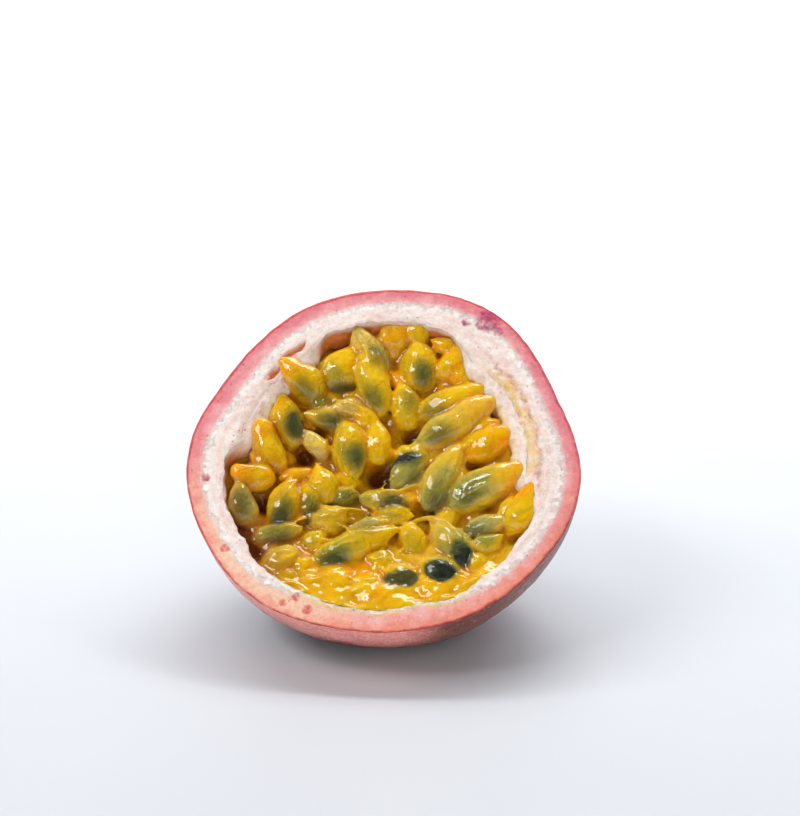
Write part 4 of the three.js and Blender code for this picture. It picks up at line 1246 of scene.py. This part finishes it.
def makePulp():
    # the heap fused to one skin, with fields for its colours and its painted shade, its creases rounded out and
    # its floor in the hollow
    foldGrids = [foldGrid(fold) for fold in folds + wrinkleFolds()]
    points, quads = remeshed("pulpHeap", heapGrids + strandGrids() + foldGrids, sac["voxel"])
    points = relax(points, quads, 2, 0.4)
    left, down = -points[:, 0], -points[:, 1]
    # each point takes the looks of the sacs it lies near, weighted by how near, and the bed's where none is
    gapTo, alongTo, roundTo = sacShares(points)
    closeness = np.exp(-np.clip(gapTo, -1, 3) / juice["blend"])
    bedCloseness = math.exp(-juice["bedGap"] / juice["blend"])
    weights = closeness / (closeness.sum(axis=1, keepdims=True) + bedCloseness)
    onSac = weights.sum(axis=1)
    rowTones, tailTones, seedTones, folded, milk = np.array([row[7:12] for row in allSacs]).T
    toTail = tailTones * (1 - smoothStep(alongTo, 0.12, 0.5))
    overSeed = juice["seedTone"] * seedTones * smoothStep(alongTo, 0.4, 0.7)
    toFlank = juice["flankTone"] * (np.cos(roundTo) ** 2 - 0.4)
    tone = (weights * (rowTones + (toTail - overSeed) + toFlank)).sum(axis=1) + (1 - onSac) * juice["bedTone"]
    tone -= juice["lowTone"] * smoothStep(down, 4, 10) - juice["leftTone"] * smoothStep(left, 8, 16)
    calm = smoothStep(down, 15.5, 19.5)  # smooth juice at the low side
    tone += juice["calmTone"] * calm
    normals = vertexNormals(points, quads)
    # creases are lower than what is right round them, valleys than what is farther round
    relaxed = relax(points, quads, 14, 0.6)
    crease = relax(dot(relaxed - points, normals)[:, None], quads, 4, 0.6)[:, 0]
    level = relax(relaxed, quads, 60, 0.9)
    valley = dot(level - points, normals)
    filled = juice["filled"] * smoothStep(valley, 0.15, 0.9)
    # the valleys' painted shade: stronger towards the left, as in the rim's shadow, weaker at the low side
    valley = valley * (1 - 0.6 * smoothStep(down, 16, 22)) + 0.4 * smoothStep(left, 6, 16)
    # painted shade: darker the deeper below the bowl and on the bed between the sacs, less at the low side
    depthBelow = -points[:, 2] - bowlDepth(points[:, 0], points[:, 1])
    onBed = np.clip(1 - 1.3 * onSac, 0, 1)
    deepShade = (smoothStep(depthBelow, 1.9, 4.6) + 0.25 * onBed) * (1 - 0.75 * smoothStep(down, 12, 20))
    # painted shadow under the rim at the lower left
    outer = smoothStep(np.hypot(points[:, 0], points[:, 1] - hollow["shift"]), 21.5, 24)
    bearing = np.arctan2(points[:, 1] - hollow["shift"], points[:, 0])
    deepShade += outer * near(bearing, 217, 0.15, 0.45) * (1 - 0.7 * onSac)
    # fibres: 6 a turn round the sac, 4 along it, and another stretch of the pattern for each sac
    here, owner = np.arange(len(points)), gapTo.argmin(axis=1)
    grain = np.stack([roundTo[here, owner] * 6, alongTo[here, owner] * 4, owner * 3.7], axis=-1)
    fields = {"tone": tone, "seedShade": seedShadows(points), "deepShade": deepShade, "crease": crease / 0.3,
              "valley": valley, "wrinkles": weights @ folded, "milk": weights @ milk, "calm": calm, "grain": grain}
    # juice rounds the creases out
    points += (relaxed - points) * smoothStep(crease, 0, 0.25)[:, None]
    points += (level - points) * filled[:, None]
    points = relax(points, quads, 2, 0.5)
    points += normals * (0.02 * swell(points, 1.0, 61))[:, None]
    # the floor of the heap fills the rest of the hollow
    fromAxis = points[:, 0] ** 2 + (points[:, 1] - hollow["shift"]) ** 2
    share = np.clip(fromAxis / (hollow["radius"] - juice["clearance"]) ** 2, 0, 1)
    floor = -(hollow["depth"] - juice["clearance"]) * np.sqrt(1 - share)
    below = smoothStep(-points[:, 2], 9.5, 10.9)
    points[:, 2] = points[:, 2] * (1 - below) + np.minimum(points[:, 2], floor) * below
    mesh = thinned(makeMesh("pulpHeap", stand(points), quads, np.zeros((0, 3), int), fields), sac["triangles"])
    print("pulp has", len(mesh.polygons), "triangles of", 2 * len(quads))
    addPiece("pulpHeap", mesh, "pulp", [pulpMaterial])


makePulp()
print("pulp ready")


seed = {"length": 5.2, "width": 3.6, "thickness": 2.1, "lean": 0.85, "fullness": 0.65, "rows": 40, "columns": 48}


def makeSeeds():
    # flat drops laid on what is seen: a half wave over the length to a power, leant to the end, a little uneven
    share = bunched(0.02, 0.98, seed["rows"])
    radius = np.sin(math.pi * share ** seed["lean"]) ** seed["fullness"]
    for x, y, heading, _, number, proud in shades:
        if not number:
            continue
        spot, along, side, up = seedPlace(x, y, heading)
        centre = spot + (proud - seed["thickness"] / 2) * up
        spine = centre + np.outer((share - 0.5) * seed["length"], along)
        grid = ovals(spine, side, up, radius * seed["width"] / 2, radius * seed["thickness"] / 2, seed["columns"])
        grid = grid + 0.05 * swell(grid, 1.1, 300 + number)[..., None] * up
        points, quads, triangles = closedGrid(grid)
        lengthways, sideways = (points - centre) @ along / seed["length"], (points - centre) @ side / seed["width"]
        edge = smoothStep(2 * np.hypot(lengthways, sideways), 0.6, 1.05)
        film = np.maximum(edge, 0.85 * smoothStep(-lengthways, 0, 0.35))  # juice over the edge and the tail
        mesh = makeMesh(f"seed{number:02d}", stand(points), quads, triangles, {"film": film})
        addPiece(f"seed{number:02d}", mesh, f"seed_{number:02d}", [seedMaterial])


makeSeeds()
print("seeds ready")


studio = {
    "floorSize": 3.0,
    "wallStart": 0.45,  # where the floor starts to curve up behind
    "wallCurve": 0.5,
    "wallTop": 1.6,
    "floorDark": (0.6, 0.622, 0.665, 1),
    "floorLight": (0.63, 0.648, 0.682, 1),
    "world": 0.3,
    # name, place, aim (metres), size, watts, whether it shows in gloss
    "lamps": [
        ("key", (-0.36, -0.17, 0.42), (0, 0, 0.025), (0.3, 0.2), 0.95, True),
        ("glint", (-0.24, -0.26, 0.45), (0, 0, 0.025), (0.11, 0.07), 0.24, True),
        ("top", (0.08, 0.3, 0.52), (0, 0, 0.025), (0.3, 0.16), 0.8, True),
        ("front", (0.2, -0.6, 0.35), (0, 0, 0.025), (0.6, 0.5), 0.8, False),
        ("low", (0.05, -0.6, 0.07), (0, 0, 0.015), (0.8, 0.12), 1.3, False),
        ("wall", (0, 0.3, 0.8), (0, 1.2, 0.1), (1.2, 0.4), 16, False),
    ],
}
view = {
    "turn": 5.032,  # degrees that the camera stands to the right of straight in front
    "rise": 18.334,  # degrees that it looks down
    "distance": 239.88,  # millimetres from the middle of the cut, then to the camera's right and up
    "right": 2.64,
    "up": 6.98,
    "focal": 67.46,
    "sensor": 36,  # along the picture's longer side
}


def makeFloor():
    # flat, then a quarter circle up into a wall behind
    size, start, curve = studio["floorSize"], studio["wallStart"], studio["wallCurve"]
    turn = np.linspace(0, math.pi / 2, 24)
    y = np.concatenate([[-size], start + curve * np.sin(turn), [start + curve]])
    z = np.concatenate([[0], curve * (1 - np.cos(turn)), [studio["wallTop"]]])
    left = np.stack([0 * y - size, y, z], axis=-1)
    row = np.arange(len(y) - 1)
    faces = np.stack([row, row + len(y), row + len(y) + 1, row + 1], axis=-1)
    mesh = bpy.data.meshes.new("studioFloor")
    mesh.from_pydata(np.vstack([left, left * [-1, 1, 1]]).tolist(), [], faces.tolist())
    mesh.polygons.foreach_set("use_smooth", np.ones(len(faces), bool))
    material, tree, shader, place = newMaterial("studio floor", {"Roughness": 0.5, "Specular IOR Level": 0.3})
    tone = cloud(tree, place, 60)
    setInputs(tree, shader, {"Base Color": tint(tree, studio["floorDark"], studio["floorLight"], tone, 0.3, 0.7)})
    mesh.materials.append(material)
    addObject("studioFloor", mesh)


def turnedTo(back, place):  # the matrix of a lamp or camera at a place, its back to one direction, its side level
    right, up = levelAxes(back)
    return Matrix([[right[k], up[k], back[k], place[k]] for k in range(3)] + [[0, 0, 0, 1]])


def makeLights():
    # area lamps, each aimed at a point, and an even white world that doesn't show in gloss
    for name, position, aim, size, watts, glossy in studio["lamps"]:
        lamp = bpy.data.lights.new(name, "AREA")
        lamp.shape = "RECTANGLE"
        lamp.size, lamp.size_y = size
        lamp.energy = watts
        holder = addObject(name, lamp)
        holder.matrix_world = turnedTo(unit(np.array(position, float) - aim), position)
        holder.visible_glossy = glossy
    world = bpy.data.worlds.new("studio")
    world.use_nodes = True
    background = world.node_tree.nodes["Background"]
    setInputs(world.node_tree, background, {"Color": (1, 1, 1, 1), "Strength": studio["world"]})
    world.cycles_visibility.glossy = False
    bpy.context.scene.world = world


def makeCamera():
    # its back points away from the cut, by its turn and rise
    lens = bpy.data.cameras.new("camera")
    lens.lens = view["focal"]
    lens.sensor_width = view["sensor"]
    lens.clip_start = 0.01
    turn, rise = math.radians(view["turn"]), math.radians(view["rise"])
    back = np.array([math.sin(turn) * math.cos(rise), -math.cos(turn) * math.cos(rise), math.sin(rise)])
    right, up = levelAxes(back)
    place = cutMiddle + view["distance"] * back + view["right"] * right + view["up"] * up
    camera = addObject("camera", lens)
    camera.matrix_world = turnedTo(back, place * 0.001)
    bpy.context.scene.camera = camera


makeFloor()
makeLights()
makeCamera()
bpy.context.scene.view_settings.view_transform = "Standard"
print("studio ready")
